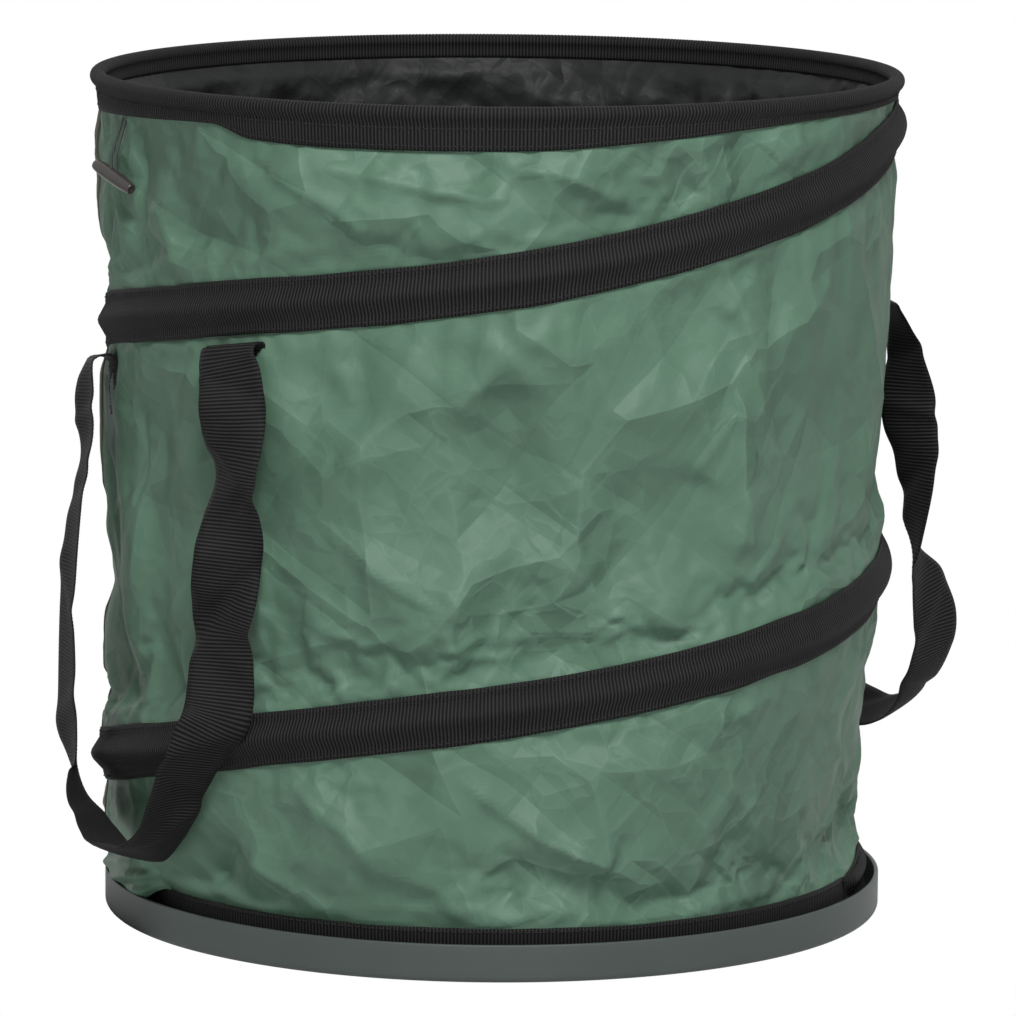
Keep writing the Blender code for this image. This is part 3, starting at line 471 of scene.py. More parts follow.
def facet_group():
    """Crumpled facets with straight edges: city block distance to the nearest of scattered points.

    The ridge is 1 where the nearest two points are equally far, and falls to 0 within a share of a cell."""
    tree = bpy.data.node_groups.new("crumpled facets", "ShaderNodeTree")
    for name, kind in FACET_INPUTS:
        tree.interface.new_socket(name=name, in_out="INPUT", socket_type=kind)
    for name in ("Height", "Ridge"):
        tree.interface.new_socket(name=name, in_out="OUTPUT", socket_type="NodeSocketFloat")
    given = tree.nodes.new("NodeGroupInput")
    where = tree.nodes.new("ShaderNodeTexCoord").outputs["Object"]
    waver = tree.nodes.new("ShaderNodeTexNoise")
    waver.inputs["Detail"].default_value = 1.0
    tree.links.new(where, waver.inputs["Vector"])
    tree.links.new(given.outputs["Scale"], waver.inputs["Scale"])
    stray = tree.nodes.new("ShaderNodeVectorMath")
    stray.operation = "SCALE"
    tree.links.new(waver.outputs["Color"], stray.inputs[0])
    tree.links.new(given.outputs["Stray"], stray.inputs["Scale"])
    strayed = tree.nodes.new("ShaderNodeVectorMath")
    tree.links.new(stray.outputs[0], strayed.inputs[0])
    tree.links.new(where, strayed.inputs[1])
    turned = tree.nodes.new("ShaderNodeMapping")
    tree.links.new(given.outputs["Turn"], turned.inputs["Rotation"])
    tree.links.new(strayed.outputs[0], turned.inputs["Vector"])
    distances = []
    for feature in ("F1", "F2"):
        cells = tree.nodes.new("ShaderNodeTexVoronoi")
        cells.distance = "MANHATTAN"
        cells.feature = feature
        tree.links.new(given.outputs["Scale"], cells.inputs["Scale"])
        tree.links.new(turned.outputs[0], cells.inputs["Vector"])
        distances.append(cells.outputs["Distance"])
    apart = calc(tree, "DIVIDE", calc(tree, "SUBTRACT", distances[1], distances[0]), RIDGE_WIDTH_SHARE)
    ridge = calc(tree, "SUBTRACT", 1.0, calc(tree, "MINIMUM", apart, 1.0))
    out = tree.nodes.new("NodeGroupOutput")
    tree.links.new(distances[0], out.inputs["Height"])
    tree.links.new(ridge, out.inputs["Ridge"])
    return tree


crumpled_facets = facet_group()


def facets(tree, scale, stray, turn):
    """Places the facets at a scale in cells to the metre. Gives their height and their ridges."""
    node = tree.nodes.new("ShaderNodeGroup")
    node.node_tree = crumpled_facets
    node.inputs["Scale"].default_value = scale
    node.inputs["Stray"].default_value = stray
    node.inputs["Turn"].default_value = turn
    return node.outputs["Height"], node.outputs["Ridge"]


def bump(tree, height, distance, strength=1.0, under=None):
    """Normal of a small relief: height from 0 to 1 stands for the distance in metres."""
    node = tree.nodes.new("ShaderNodeBump")
    linked(tree, strength, node.inputs["Strength"])
    node.inputs["Distance"].default_value = distance
    linked(tree, height, node.inputs["Height"])
    linked(tree, under, node.inputs["Normal"])
    return node.outputs["Normal"]


def along_and_across(tree):
    """Lengths along and across the cloth in metres, from its UV map."""
    place_on_cloth = tree.nodes.new("ShaderNodeUVMap")
    place_on_cloth.uv_map = "cloth"
    split = tree.nodes.new("ShaderNodeSeparateXYZ")
    tree.links.new(place_on_cloth.outputs["UV"], split.inputs[0])
    return split.outputs["X"], split.outputs["Y"]


def wave(tree, value, pitch):
    """Sine of a length, from 0 to 1."""
    turns = calc(tree, "MULTIPLY", value, math.tau / pitch)
    return calc(tree, "MULTIPLY_ADD", calc(tree, "SINE", turns), 0.5, 0.5)


def new_group(name):
    """Empty group with a colour and a normal to give."""
    tree = bpy.data.node_groups.new(name, "ShaderNodeTree")
    tree.interface.new_socket(name="Colour", in_out="OUTPUT", socket_type="NodeSocketColor")
    tree.interface.new_socket(name="Normal", in_out="OUTPUT", socket_type="NodeSocketVector")
    return tree


def close_group(tree, colour, normal):
    """Gives the group its colour and its normal."""
    out = tree.nodes.new("NodeGroupOutput")
    tree.links.new(colour, out.inputs["Colour"])
    tree.links.new(normal, out.inputs["Normal"])
    return tree


def finish(name, group, roughness, specular=0.5, **constants):
    """Material whose colour and normal come from a group. Constants are set on the shader's own sockets."""
    material = bpy.data.materials.new(name)
    material.use_nodes = True
    tree = material.node_tree
    shader = tree.nodes["Principled BSDF"]
    shader.inputs["Roughness"].default_value = roughness
    shader.inputs["Specular IOR Level"].default_value = specular
    for socket, value in constants.items():
        shader.inputs[socket.replace("_", " ")].default_value = value
    source = tree.nodes.new("ShaderNodeGroup")
    source.node_tree = group
    tree.links.new(source.outputs["Colour"], shader.inputs["Base Color"])
    tree.links.new(source.outputs["Normal"], shader.inputs["Normal"])
    return material


WEAVE_PITCH = 0.0007
WEAVE_RELIEF = 0.00006
WEAVE_STRENGTH = 0.6
GREEN = (0.084, 0.162, 0.109, 1.0)
GREEN_DEEP = (0.057, 0.113, 0.075, 1.0)
# Painted highlight: a lighter green along the facets' crease ridges, and the share of it mixed in
GREEN_RIDGE_HIGHLIGHT = (0.16, 0.25, 0.19, 1.0)
RIDGE_HIGHLIGHT_SHARE = 0.12
# Patches to the metre, detail and roughness
CLOTH_SHADE = (14.0, 4.0, 0.65)
ROUGH_PLACES = (7.0, 1.0)
ROUGH_GAIN = 3.0
ROUGH_OFFSET = -0.8
# Cells to the metre, stray, turn, relief in metres, and whether some places have less of it
CLOTH_FACETS = (
    (8.0, 0.03, (0.6, 0.9, 0.3), 0.0215, False),
    (17.0, 0.015, (1.9, 0.4, 1.1), 0.0062, True),
    (40.0, 0.008, (0.2, 2.3, 0.8), 0.0018, True),
)


def oxford_cloth():
    """Green polyester: a fine basket weave, an uneven shade, and small facets with a painted highlight along
    their ridges.
    """
    tree = new_group("oxford cloth")
    along, across = along_and_across(tree)
    weave = calc(tree, "MULTIPLY", wave(tree, along, WEAVE_PITCH), wave(tree, across, WEAVE_PITCH))
    shade = noise(tree, *CLOTH_SHADE)
    rough_ground = calc(tree, "MULTIPLY_ADD", noise(tree, *ROUGH_PLACES), ROUGH_GAIN, ROUGH_OFFSET)
    normal = None
    ridges = 0.0
    for scale, stray, turn, relief, uneven in CLOTH_FACETS:
        height, ridge = facets(tree, scale, stray, turn)
        normal = bump(tree, height, relief, rough_ground if uneven else 1.0, normal)
        ridges = calc(tree, "MAXIMUM", ridges, calc(tree, "MULTIPLY", ridge, rough_ground))
    colour = mix(tree, shade, GREEN_DEEP, GREEN)
    # Painted highlight: the colour is lightened along the facets' ridges
    colour = mix(tree, calc(tree, "MULTIPLY", ridges, RIDGE_HIGHLIGHT_SHARE), colour, GREEN_RIDGE_HIGHLIGHT)
    return close_group(tree, colour, bump(tree, weave, WEAVE_RELIEF, WEAVE_STRENGTH, normal))


RIB_PITCH = 0.00205
# Painted highlight on the rib crests and painted shade in their valleys
WEBBING_CREST_HIGHLIGHT = (0.033, 0.032, 0.033, 1.0)
WEBBING_VALLEY_SHADE = (0.0015, 0.0015, 0.0015, 1.0)
WEBBING_WEAR_AND_SHEEN = (60.0, 3.0, 0.6)
WEAR_AND_SHEEN_GAIN = 0.5
WEAR_AND_SHEEN_OFFSET = 0.65
WEBBING_RELIEF = 0.00016
WEBBING_STRENGTH = 0.7
CREST_POWER = 2.0
YARN_PITCH = 0.0009
YARN_SHARE = 0.4


def ribbed_webbing():
    """Black webbing: ribs across it, with a painted highlight on their crests and painted shade in their
    valleys, and yarns that run over them.
    """
    tree = new_group("ribbed webbing")
    along, across = along_and_across(tree)
    rib = calc(tree, "PINGPONG", along, RIB_PITCH / 2)
    crest = calc(tree, "POWER", calc(tree, "DIVIDE", rib, RIB_PITCH / 2), CREST_POWER)
    yarn = wave(tree, across, YARN_PITCH)
    wear_and_sheen = noise(tree, *WEBBING_WEAR_AND_SHEEN)
    # Painted highlight on the crests, varied by random wear and sheen; the valleys keep painted shade
    crest_highlight = calc(tree, "MULTIPLY", crest, calc(tree, "MULTIPLY_ADD", wear_and_sheen, WEAR_AND_SHEEN_GAIN, WEAR_AND_SHEEN_OFFSET))
    colour = mix(tree, crest_highlight, WEBBING_VALLEY_SHADE, WEBBING_CREST_HIGHLIGHT)
    relief = calc(tree, "MULTIPLY_ADD", yarn, YARN_SHARE, crest)
    return close_group(tree, colour, bump(tree, relief, WEBBING_RELIEF, WEBBING_STRENGTH))


LINING_COLOUR = (0.012, 0.0125, 0.013, 1.0)
LINING_LIGHT = (0.020, 0.0205, 0.021, 1.0)
LINING_SHADE = (35.0, 3.0, 0.6)
LINING_GRAIN = 900.0
LINING_GRAIN_RELIEF = 0.00005
GRAIN_STRENGTH = 0.5
# Cells to the metre, stray, turn and relief in metres
LINING_FACETS = (
    (30.0, 0.012, (0.6, 0.9, 0.3), 0.0022),
    (75.0, 0.005, (1.9, 0.4, 1.1), 0.0007),
)


def coated_lining():
    """Black coated cloth: shiny, with the crinkles that folding leaves in the coat."""
    tree = new_group("coated lining")
    shade = noise(tree, *LINING_SHADE)
    crinkle = None
    for scale, stray, turn, relief in LINING_FACETS:
        crinkle = bump(tree, facets(tree, scale, stray, turn)[0], relief, 1.0, crinkle)
    grain = bump(tree, noise(tree, LINING_GRAIN), LINING_GRAIN_RELIEF, GRAIN_STRENGTH, crinkle)
    return close_group(tree, mix(tree, shade, LINING_COLOUR, LINING_LIGHT), grain)


TRAY_COLOUR = (0.0545, 0.0675, 0.0625, 1.0)
TRAY_DARK = (0.0445, 0.055, 0.051, 1.0)
TRAY_SHADE = 18.0
TRAY_GRAIN = 1500.0
TRAY_GRAIN_RELIEF = 0.00006
TRAY_GRAIN_STRENGTH = 0.6


def tray_plastic():
    """Grey green moulded plastic with a fine spark texture."""
    tree = new_group("tray plastic")
    shade = noise(tree, TRAY_SHADE)
    grain = bump(tree, noise(tree, TRAY_GRAIN), TRAY_GRAIN_RELIEF, TRAY_GRAIN_STRENGTH)
    return close_group(tree, mix(tree, shade, TRAY_DARK, TRAY_COLOUR), grain)


THREAD = (0.012, 0.012, 0.012, 1.0)
SEAM = (0.055, 0.06, 0.035, 1.0)
ELASTIC = (0.022, 0.034, 0.028, 1.0)
TOGGLE = (0.034, 0.028, 0.027, 1.0)
STEEL = (0.42, 0.42, 0.43, 1.0)
CRIMP = (0.55, 0.55, 0.55, 1.0)
FIBRE_RELIEF = 0.0001
PLASTIC_RELIEF = 0.00003
METAL_RELIEF = 0.00002
SHADOW_SHARE = 0.75
GRAIN_TO_SHADE = 10


def plain_finish(name, colour, scale, distance):
    """One colour with a little unevenness and grain."""
    tree = new_group(name)
    darker = tuple(SHADOW_SHARE * part for part in colour[:3]) + (1.0,)
    grain = bump(tree, noise(tree, scale * GRAIN_TO_SHADE), distance, GRAIN_STRENGTH)
    return close_group(tree, mix(tree, noise(tree, scale), darker, colour), grain)


thread_group = plain_finish("thread", THREAD, 300.0, FIBRE_RELIEF)
seam_group = plain_finish("seam", SEAM, 300.0, FIBRE_RELIEF)
elastic_group = plain_finish("elastic cord", ELASTIC, 400.0, FIBRE_RELIEF)
toggle_group = plain_finish("toggle", TOGGLE, 120.0, PLASTIC_RELIEF)
steel_group = plain_finish("steel", STEEL, 90.0, METAL_RELIEF)
crimp_group = plain_finish("crimp", CRIMP, 90.0, METAL_RELIEF)
green_cloth = finish("green cloth", oxford_cloth(), roughness=0.55, specular=0.3)
black_webbing = finish("black webbing", ribbed_webbing(), roughness=0.7, specular=0.1, Sheen_Weight=0.02)
black_lining = finish("black lining", coated_lining(), roughness=0.5, specular=0.12)
tray_finish = finish("tray plastic", tray_plastic(), roughness=0.5, specular=0.3)
black_thread = finish("black thread", thread_group, roughness=0.7, specular=0.2)
seam_finish = finish("seam tape", seam_group, roughness=0.6)
elastic_finish = finish("elastic", elastic_group, roughness=0.6)
toggle_finish = finish("toggle plastic", toggle_group, roughness=0.3)
steel = finish("spring steel", steel_group, roughness=0.32, Metallic=1.0)
crimp_steel = finish("crimp steel", crimp_group, roughness=0.4, Metallic=1.0)


# Wall: creases drawn on the photograph, carried on to the cloth
# Each crease: outward height and widths to its left and its right as one walks along it, in millimetres,
# then its pixels. A negative height is a valley.
CREASE_PIXELS = (
    (4.0, 20, 8, ((265, 158), (300, 185), (340, 212), (365, 235), (369, 262))),
    (-1.5, 6, 6, ((250, 160), (275, 175))),
    (2.0, 8, 5, ((285, 155), (330, 165), (370, 175), (420, 187), (490, 200))),
    (3.0, 12, 14, ((415, 192), (520, 200))),
    (2.0, 8, 12, ((520, 200), (460, 250))),
    (3.5, 12, 6, ((485, 157), (560, 175), (620, 203), (665, 222))),
    (1.5, 6, 6, ((700, 160), (730, 190), (745, 195))),
    (1.5, 6, 6, ((750, 140), (782, 167))),
    (1.2, 6, 6, ((650, 150), (640, 185))),
    (1.8, 12, 12, ((158, 200), (183, 255))),
    (1.5, 6, 6, ((265, 252), (280, 270))),
    (2.0, 10, 7, ((525, 330), (555, 352), (590, 365))),
    (4.0, 22, 24, ((520, 345), (450, 420))),
    (4.5, 34, 13, ((420, 340), (395, 390), (365, 440), (340, 480), (327, 521))),
    (4.5, 34, 13, ((327, 525), (375, 570), (410, 592), (491, 636))),
    (1.5, 8, 8, ((338, 365), (355, 410))),
    (2.5, 18, 8, ((755, 270), (720, 320))),
    (3.5, 24, 9, ((735, 395), (680, 480))),
    (3.0, 22, 9, ((745, 430), (730, 570))),
    (4.5, 30, 8, ((400, 675), (485, 637), (560, 636), (640, 630), (740, 620))),
    (1.2, 5, 5, ((490, 640), (515, 665))),
    (1.2, 5, 5, ((595, 650), (600, 665))),
    (2.2, 10, 10, ((848, 255), (853, 300), (862, 380), (870, 420))),
    (1.5, 8, 8, ((822, 275), (800, 320))),
    (2.5, 14, 9, ((780, 535), (741, 600))),
    (5.0, 24, 9, ((455, 770), (470, 785), (545, 840), (610, 870))),
    (2.5, 10, 8, ((565, 850), (610, 870))),
    (-2.0, 8, 8, ((625, 720), (605, 760))),
    (1.5, 6, 6, ((665, 710), (660, 735))),
    (3.0, 12, 10, ((385, 865), (440, 890), (470, 930))),
    (-2.0, 8, 8, ((495, 865), (518, 900))),
    (3.0, 14, 10, ((284, 773), (317, 804), (350, 830), (400, 890))),
    (-4.0, 9, 9, ((240, 835), (215, 885))),
    (3.0, 16, 8, ((245, 855), (290, 885), (330, 915))),
    (2.0, 8, 6, ((715, 725), (750, 705))),
    (2.0, 6, 6, ((830, 745), (845, 775))),
    (2.5, 8, 8, ((840, 780), (823, 845))),
    (2.0, 6, 6, ((825, 848), (850, 880))),
)
MM = 0.001
CREASE_LIFT = 0.0020
CREASE_REACH = 5.0
CREASE_ENDS = 0.22
CREASE_AT_ENDS = 0.15
CREASE_TURN = 0.2
MEAN_WALL_RADIUS = (RIM_WALL_RADIUS + BASE_WALL_RADIUS) / 2


def crease_relief(azimuth, height):
    """Sum of the drawn creases at each azimuth and height.

    Each is a tent, h exp(-d / w), where d is the distance from its line over the cloth and w the width on
    that side. It rises from nothing at both ends of its line."""
    relief = np.zeros_like(height)
    for lift, left, right, pixels in CREASE_PIXELS:
        line_azimuth, line_height = on_wall(pixels)
        middle = line_azimuth.mean()
        line = np.stack([-np.radians(line_azimuth - middle) * MEAN_WALL_RADIUS, line_height], axis=1)
        away = (azimuth - middle + FULL_TURN / 2) % FULL_TURN - FULL_TURN / 2
        x = -np.radians(away) * MEAN_WALL_RADIUS
        widest = max(left, right) * MM
        low = line.min(axis=0) - CREASE_REACH * widest
        high = line.max(axis=0) + CREASE_REACH * widest
        near = (x > low[0]) & (x < high[0]) & (height > low[1]) & (height < high[1])
        at = np.stack([x[near], height[near]], axis=1)
        starts = run_along(line)
        best = np.full(len(at), np.inf)
        side = np.zeros(len(at))
        run = np.zeros(len(at))
        for k, length in enumerate(np.diff(starts)):
            ahead = (line[k + 1] - line[k]) / length
            offset = at - line[k]
            t = np.clip(offset @ ahead, 0, length)
            gap = offset - t[:, None] * ahead
            distance = np.linalg.norm(gap, axis=1)
            closer = distance < best
            best = np.where(closer, distance, best)
            side = np.where(closer, ahead[0] * gap[:, 1] - ahead[1] * gap[:, 0], side)
            run = np.where(closer, (starts[k] + t) / starts[-1], run)
        blend = smooth_step(side / np.maximum(best, TINY), -CREASE_TURN, CREASE_TURN)
        width = (right + (left - right) * blend) * MM
        ends = smooth_step(run, 0, CREASE_ENDS) * smooth_step(1 - run, 0, CREASE_ENDS)
        strength = CREASE_AT_ENDS + (1 - CREASE_AT_ENDS) * ends
        relief[near] += lift * CREASE_LIFT * np.exp(-best / width) * strength
    return relief


def scatter(cell_x, cell_y, seed):
    """Two even random numbers from 0 to 1 for each square of a lattice."""
    mixed = stirred(cell_x, cell_y, seed)
    return (mixed & SCATTER_BITS) / SCATTER_BITS, (mixed >> 15 & SCATTER_BITS) / SCATTER_BITS


FACET_MEAN = 0.53


def faceted(x, y, size, slant, seed):
    """City block distance to the nearest of scattered points, |u| + |v| on axes turned by the slant.

    One point lies in each square of a lattice, so the distance is made of flat facets between straight
    creases. It is given in sizes of a square, less its mean."""
    u = (x * math.cos(slant) + y * math.sin(slant)) / size
    v = (y * math.cos(slant) - x * math.sin(slant)) / size
    low_u = np.floor(u).astype(np.int64)
    low_v = np.floor(v).astype(np.int64)
    best = np.full(x.shape, np.inf)
    for du in (-2, -1, 0, 1, 2):
        for dv in (-2, -1, 0, 1, 2):
            across, up = scatter(low_u + du, low_v + dv, seed)
            distance = np.abs(low_u + du + across - u) + np.abs(low_v + dv + up - v)
            best = np.minimum(best, distance)
    return best - FACET_MEAN


# Size and height of each layer's facets in metres, and its slant in radians
CRUMPLE_LAYERS = (
    (0.150, 0.0150, 0.5),
    (0.085, 0.0090, -0.8),
    (0.042, 0.0045, 0.2),
    (0.022, 0.0015, 1.1),
)
CRUMPLE_SEAM = (330.0, 358.0)


def crumple(azimuth, height, seed):
    """Facets and straight creases of cloth that was folded away: a sum of faceted layers of several sizes.

    Beyond the seam azimuths each layer passes into its own start, so that it closes round the drum."""
    x = np.radians(azimuth) * MEAN_WALL_RADIUS
    closing = smooth_step(azimuth, *CRUMPLE_SEAM)
    relief = np.zeros_like(height)
    for size, lift, slant in CRUMPLE_LAYERS:
        here = faceted(x, height, size, slant, seed)
        again = faceted(x - math.tau * MEAN_WALL_RADIUS, height, size, slant, seed)
        relief += lift * (here * (1 - closing) + again * closing)
        seed += 1
    return relief


SIM_AROUND = 240
SIM_UP = 104
SIM_FRAMES = 26
SIM_QUALITY = 6
SLACK_IN_CLOTH = 0.014
# Share of the crumples that the wall starts from, and the way from a tape within which it is held
REST_SHARE = 0.3
HELD_WITHIN = 0.0015
# Way from a tape over which the crumples set in, and how far they bulge at most
FADE = (-0.001, 0.016)
BULGE = 0.003
WALL_SEED = 3
FOLDS_SEED = 11
LINING_SEED = 21
# How much weaker the random folds are where the photograph shows the wall, and the azimuths between which
# it does
PHOTO_CALM = 0.45
SHOWN_FROM = (2, 14)
SHOWN_TO = (166, 178)


def in_photo(azimuth):
    """1 on the side that the photograph shows, 0 behind it."""
    return smooth_step(azimuth, *SHOWN_FROM) * (1 - smooth_step(azimuth, *SHOWN_TO))


def clear_of_tapes(azimuth, height):
    """Height from the nearest tape or edge that holds the cloth, less than 0 behind it."""
    turns = azimuth % FULL_TURN / FULL_TURN
    clear = np.minimum(height - base_casing_top(azimuth), flange_foot(azimuth) - height)
    for turn in (turns, turns + 1, turns + 2, turns - 1):
        there = (turn >= COIL_START) & (turn <= COIL_END)
        below, above = casing_reach(turn)
        middle = coil_height(turn)
        gap = np.where(height > middle, height - middle - above, middle - below - height)
        clear = np.where(there, np.minimum(clear, gap), clear)
    return clear


def smooth_wall():
    """The wall before it settles, rows round and columns up, and where the tapes hold it."""
    azimuth = np.arange(SIM_AROUND) * FULL_TURN / SIM_AROUND
    height = FLOOR_TOP + (CLOTH_TOP - FLOOR_TOP) * np.arange(SIM_UP) / (SIM_UP - 1)
    azimuth, height = np.meshgrid(azimuth, height, indexing="ij")
    clear = clear_of_tapes(azimuth, height)
    relief = crumple(azimuth, height, WALL_SEED) * smooth_step(clear, *FADE)
    return place(azimuth, wall_radius(azimuth, height) + relief * REST_SHARE, height), clear < HELD_WITHIN


def settled(points, held):
    """Cloth simulation: the cloth is a little larger than its frame, is held at the tapes, and takes up its
    slack in folds between them."""
    mesh = grid_mesh("wall_at_rest", points, closed=True, flip=True)
    obj = bpy.data.objects.new("wall_at_rest", mesh)
    scene = bpy.context.scene
    scene.collection.objects.link(obj)
    group = obj.vertex_groups.new(name="held")
    group.add(np.flatnonzero(held.ravel()).tolist(), 1.0, "REPLACE")
    settings = obj.modifiers.new("cloth", "CLOTH").settings
    settings.quality = SIM_QUALITY
    settings.mass = 0.05
    settings.tension_stiffness = 40.0
    settings.compression_stiffness = 40.0
    settings.shear_stiffness = 20.0
    settings.bending_stiffness = 0.5
    settings.tension_damping = 20.0
    settings.compression_damping = 20.0
    settings.shear_damping = 20.0
    settings.air_damping = 4.0
    settings.shrink_min = -SLACK_IN_CLOTH
    settings.vertex_group_mass = group.name
    scene.frame_start = 1
    scene.frame_end = SIM_FRAMES
    for frame_number in range(1, SIM_FRAMES + 1):
        scene.frame_set(frame_number)
    moved = obj.evaluated_get(bpy.context.evaluated_depsgraph_get()).to_mesh()
    found = np.zeros(points.size)
    moved.vertices.foreach_get("co", found)
    found = found.reshape(points.shape)
    bpy.data.objects.remove(obj, do_unlink=True)
    scene.frame_set(1)
    return found


def twice_as_fine(points):
    """Doubles a grid that is closed along its rows.

    Each new point is (9 (a + b) - (z + c)) / 16 of its neighbours a and b and theirs, z and c."""
    wide = np.concatenate([points[-1:], points, points[:2]], axis=0)
    between = (9 * (wide[1:-2] + wide[2:-1]) - wide[:-3] - wide[3:]) / 16
    points = np.stack([points, between], axis=1).reshape(-1, *points.shape[1:])
    ends = (2 * points[:, :1] - points[:, 1:2], 2 * points[:, -1:] - points[:, -2:-1])
    wide = np.concatenate([ends[0], points, ends[1]], axis=1)
    between = (9 * (wide[:, 1:-2] + wide[:, 2:-1]) - wide[:, :-3] - wide[:, 3:]) / 16
    count = points.shape[1]
    finer = np.zeros((points.shape[0], 2 * count - 1, 3))
    finer[:, 0::2] = points
    finer[:, 1::2] = between
    return finer


def creased(points):
    """Adds the drawn creases, and random folds that are stronger where the photograph shows nothing."""
    radius = np.linalg.norm(points[..., :2], axis=-1)
    azimuth = azimuth_of(points)
    height = points[..., 2]
    shown = in_photo(azimuth)
    relief = crumple(azimuth, height, FOLDS_SEED) * (1 - PHOTO_CALM * shown)
    relief = np.where(relief > 0, BULGE * np.tanh(relief / BULGE), relief)
    relief += crease_relief(azimuth, height) * shown
    relief *= smooth_step(clear_of_tapes(azimuth, height), *FADE)
    moved = points * (1 + relief / radius)[..., None]
    moved[..., 2] = height
    return moved


GATHER_HEIGHT = FLOOR_TOP + BASE_CASING_HEIGHT


def gather(obj):
    """Gives the piece its own copy of its mesh."""
    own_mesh(obj)


def make_outer_wall():
    """Green cloth drum, and its points for the lining that hangs inside it."""
    points, held = smooth_wall()
    points = settled(points, held)
    points = creased(twice_as_fine(points))
    along = np.arange(len(points) + 1) / len(points) * math.tau * MEAN_WALL_RADIUS
    across = np.linspace(0, CLOTH_TOP - FLOOR_TOP, points.shape[1])
    lengths = (along, np.append(across, across[-1]))
    mesh = grid_mesh("outer_wall", points, closed=True, flip=True, lengths=lengths)
    wall = piece("outer_wall", mesh, green_cloth, "base", ("outer_cloth",))
    gather(wall)
    return wall, points


SEAM_AZIMUTH = 176.0
SEAM_RISE = 0.0007
SEAM_FOOT = 0.029


def make_side_seam(outer):
    """Felled seam that closes the wall down its left side, laid on the cloth."""
    row = round(SEAM_AZIMUTH / FULL_TURN * len(outer))
    strip = outer[row - 1 : row + 2]
    strip = strip[:, strip[1, :, 2] > SEAM_FOOT]
    raised = strip + unit(strip * LEVEL) * SEAM_RISE
    skin = np.concatenate([strip[:1], raised, strip[-1:]], axis=0)
    mesh = grid_mesh("side_seam", skin, flip=True)
    seam = piece("side_seam", mesh, seam_finish, "base")
    gather(seam)
    return seam


FOOT_FOLD_AZIMUTHS = (147.5, 198.0)
FOOT_FOLD_TOP = 0.054
FOOT_FOLD_FOOT = 0.0205
FOOT_FOLD_BULGE = 0.0112
FOOT_FOLD_RIPPLE = 0.0011
FOOT_FOLD_RIPPLE_HEIGHT = 0.0095
FOOT_FOLD_RIPPLE_SLANT = 0.00085
FOOT_FOLD_HEM = 0.0022
FOOT_FOLD_ROWS = 121
FOOT_FOLD_COLUMNS = 41
# Degrees over which the fold rises from its ends, and the azimuths between which its bulge moves down
FOOT_FOLD_START = 5.5
FOOT_FOLD_DROP_START = 1.0
FOOT_FOLD_END = 14.0
FOOT_FOLD_LOW = (160.0, 170.0)
# Shares of the fold's height over which its forms set in
BULGE_HIGH_SHARES = (0.02, 0.72)
BULGE_LOW_SHARES = (0.45, 0.97)
RIPPLE_SHARES = (0.1, 0.5)
HEM_SHARES = (0.9, 1.0)
LIFT_SHARES = (0.0, 0.3)


def make_foot_fold():
    """Slack cloth at the left foot, folded down over the base casing to the tray's edge.

    Its radius is the wall's, plus a bulge that grows down the fold, plus slanted pleats: a sine of height
    and azimuth. Its lower edge drops from the casing's top to the tray at its start and rises at its end."""
    first, last = FOOT_FOLD_AZIMUTHS
    azimuth = np.linspace(first, last, FOOT_FOLD_ROWS)[:, None]
    share = np.linspace(0, 1, FOOT_FOLD_COLUMNS)[None]
    far = smooth_step(last - azimuth, 0, FOOT_FOLD_END)
    ends = smooth_step(azimuth, first, first + FOOT_FOLD_START) * far
    drop = smooth_step(azimuth, first + FOOT_FOLD_DROP_START, first + FOOT_FOLD_START) * far
    foot = GATHER_HEIGHT + (FOOT_FOLD_FOOT - GATHER_HEIGHT) * drop
    height = FOOT_FOLD_TOP + (foot - FOOT_FOLD_TOP) * share
    low = smooth_step(azimuth, *FOOT_FOLD_LOW)
    swell = (1 - low) * smooth_step(share, *BULGE_HIGH_SHARES) + low * smooth_step(share, *BULGE_LOW_SHARES)
    phase = math.tau * (height + azimuth * FOOT_FOLD_RIPPLE_SLANT) / FOOT_FOLD_RIPPLE_HEIGHT
    ripple = FOOT_FOLD_RIPPLE * np.sin(phase) * smooth_step(share, *RIPPLE_SHARES)
    hem = FOOT_FOLD_HEM * smooth_step(share, *HEM_SHARES)
    lifted = (LAYER_GAP + TAPE + LAYER_GAP) * smooth_step(share, *LIFT_SHARES)
    radius = wall_radius(azimuth, height) + lifted + (FOOT_FOLD_BULGE * swell + ripple - hem) * ends
    mesh = grid_mesh("foot_fold", place(azimuth, radius, height))
    fold = piece("foot_fold", mesh, green_cloth, "base")
    gather(fold)
    return fold


LINING_LIFT = 0.35
LINING_TOP_FADE = (-0.002, 0.010)
LINING_FOOT_FADE = 0.02


def make_lining_wall(outer):
    """Black lining: hangs inside the outer cloth, with folds of its own inwards."""
    radius = np.linalg.norm(outer[..., :2], axis=-1)
    height = np.maximum(outer[..., 2], FLOOR_TOP + CLOTH + LAYER_GAP)
    azimuth = azimuth_of(outer)
    relief = crumple(azimuth, height, LINING_SEED)
    relief -= relief.max()
    free = smooth_step(BAG_HEIGHT - INNER_FLANGE_HEIGHT - height, *LINING_TOP_FADE)
    free *= smooth_step(height, FLOOR_TOP, FLOOR_TOP + LINING_FOOT_FADE)
    inner = radius - CLOTH - LAYER_GAP - LINING + relief * free * LINING_LIFT
    share = inner / radius
    points = outer * share[..., None]
    points[..., 2] = height
    mesh = grid_mesh("lining_wall", points, closed=True)
    lining = piece("lining_wall", mesh, black_lining, "base", ("inner_lining",))
    gather(lining)
    return lining


DISC_RINGS = 60
DISC_SIDES = 240
# Size, share and seed of each layer of creases
DISC_CREASES = ((0.12, 1.0, 5), (0.06, 0.5, 6), (0.03, 0.3, 7))
DISC_CREASE_POWER = 3
DISC_EDGE_SHARE = 0.08


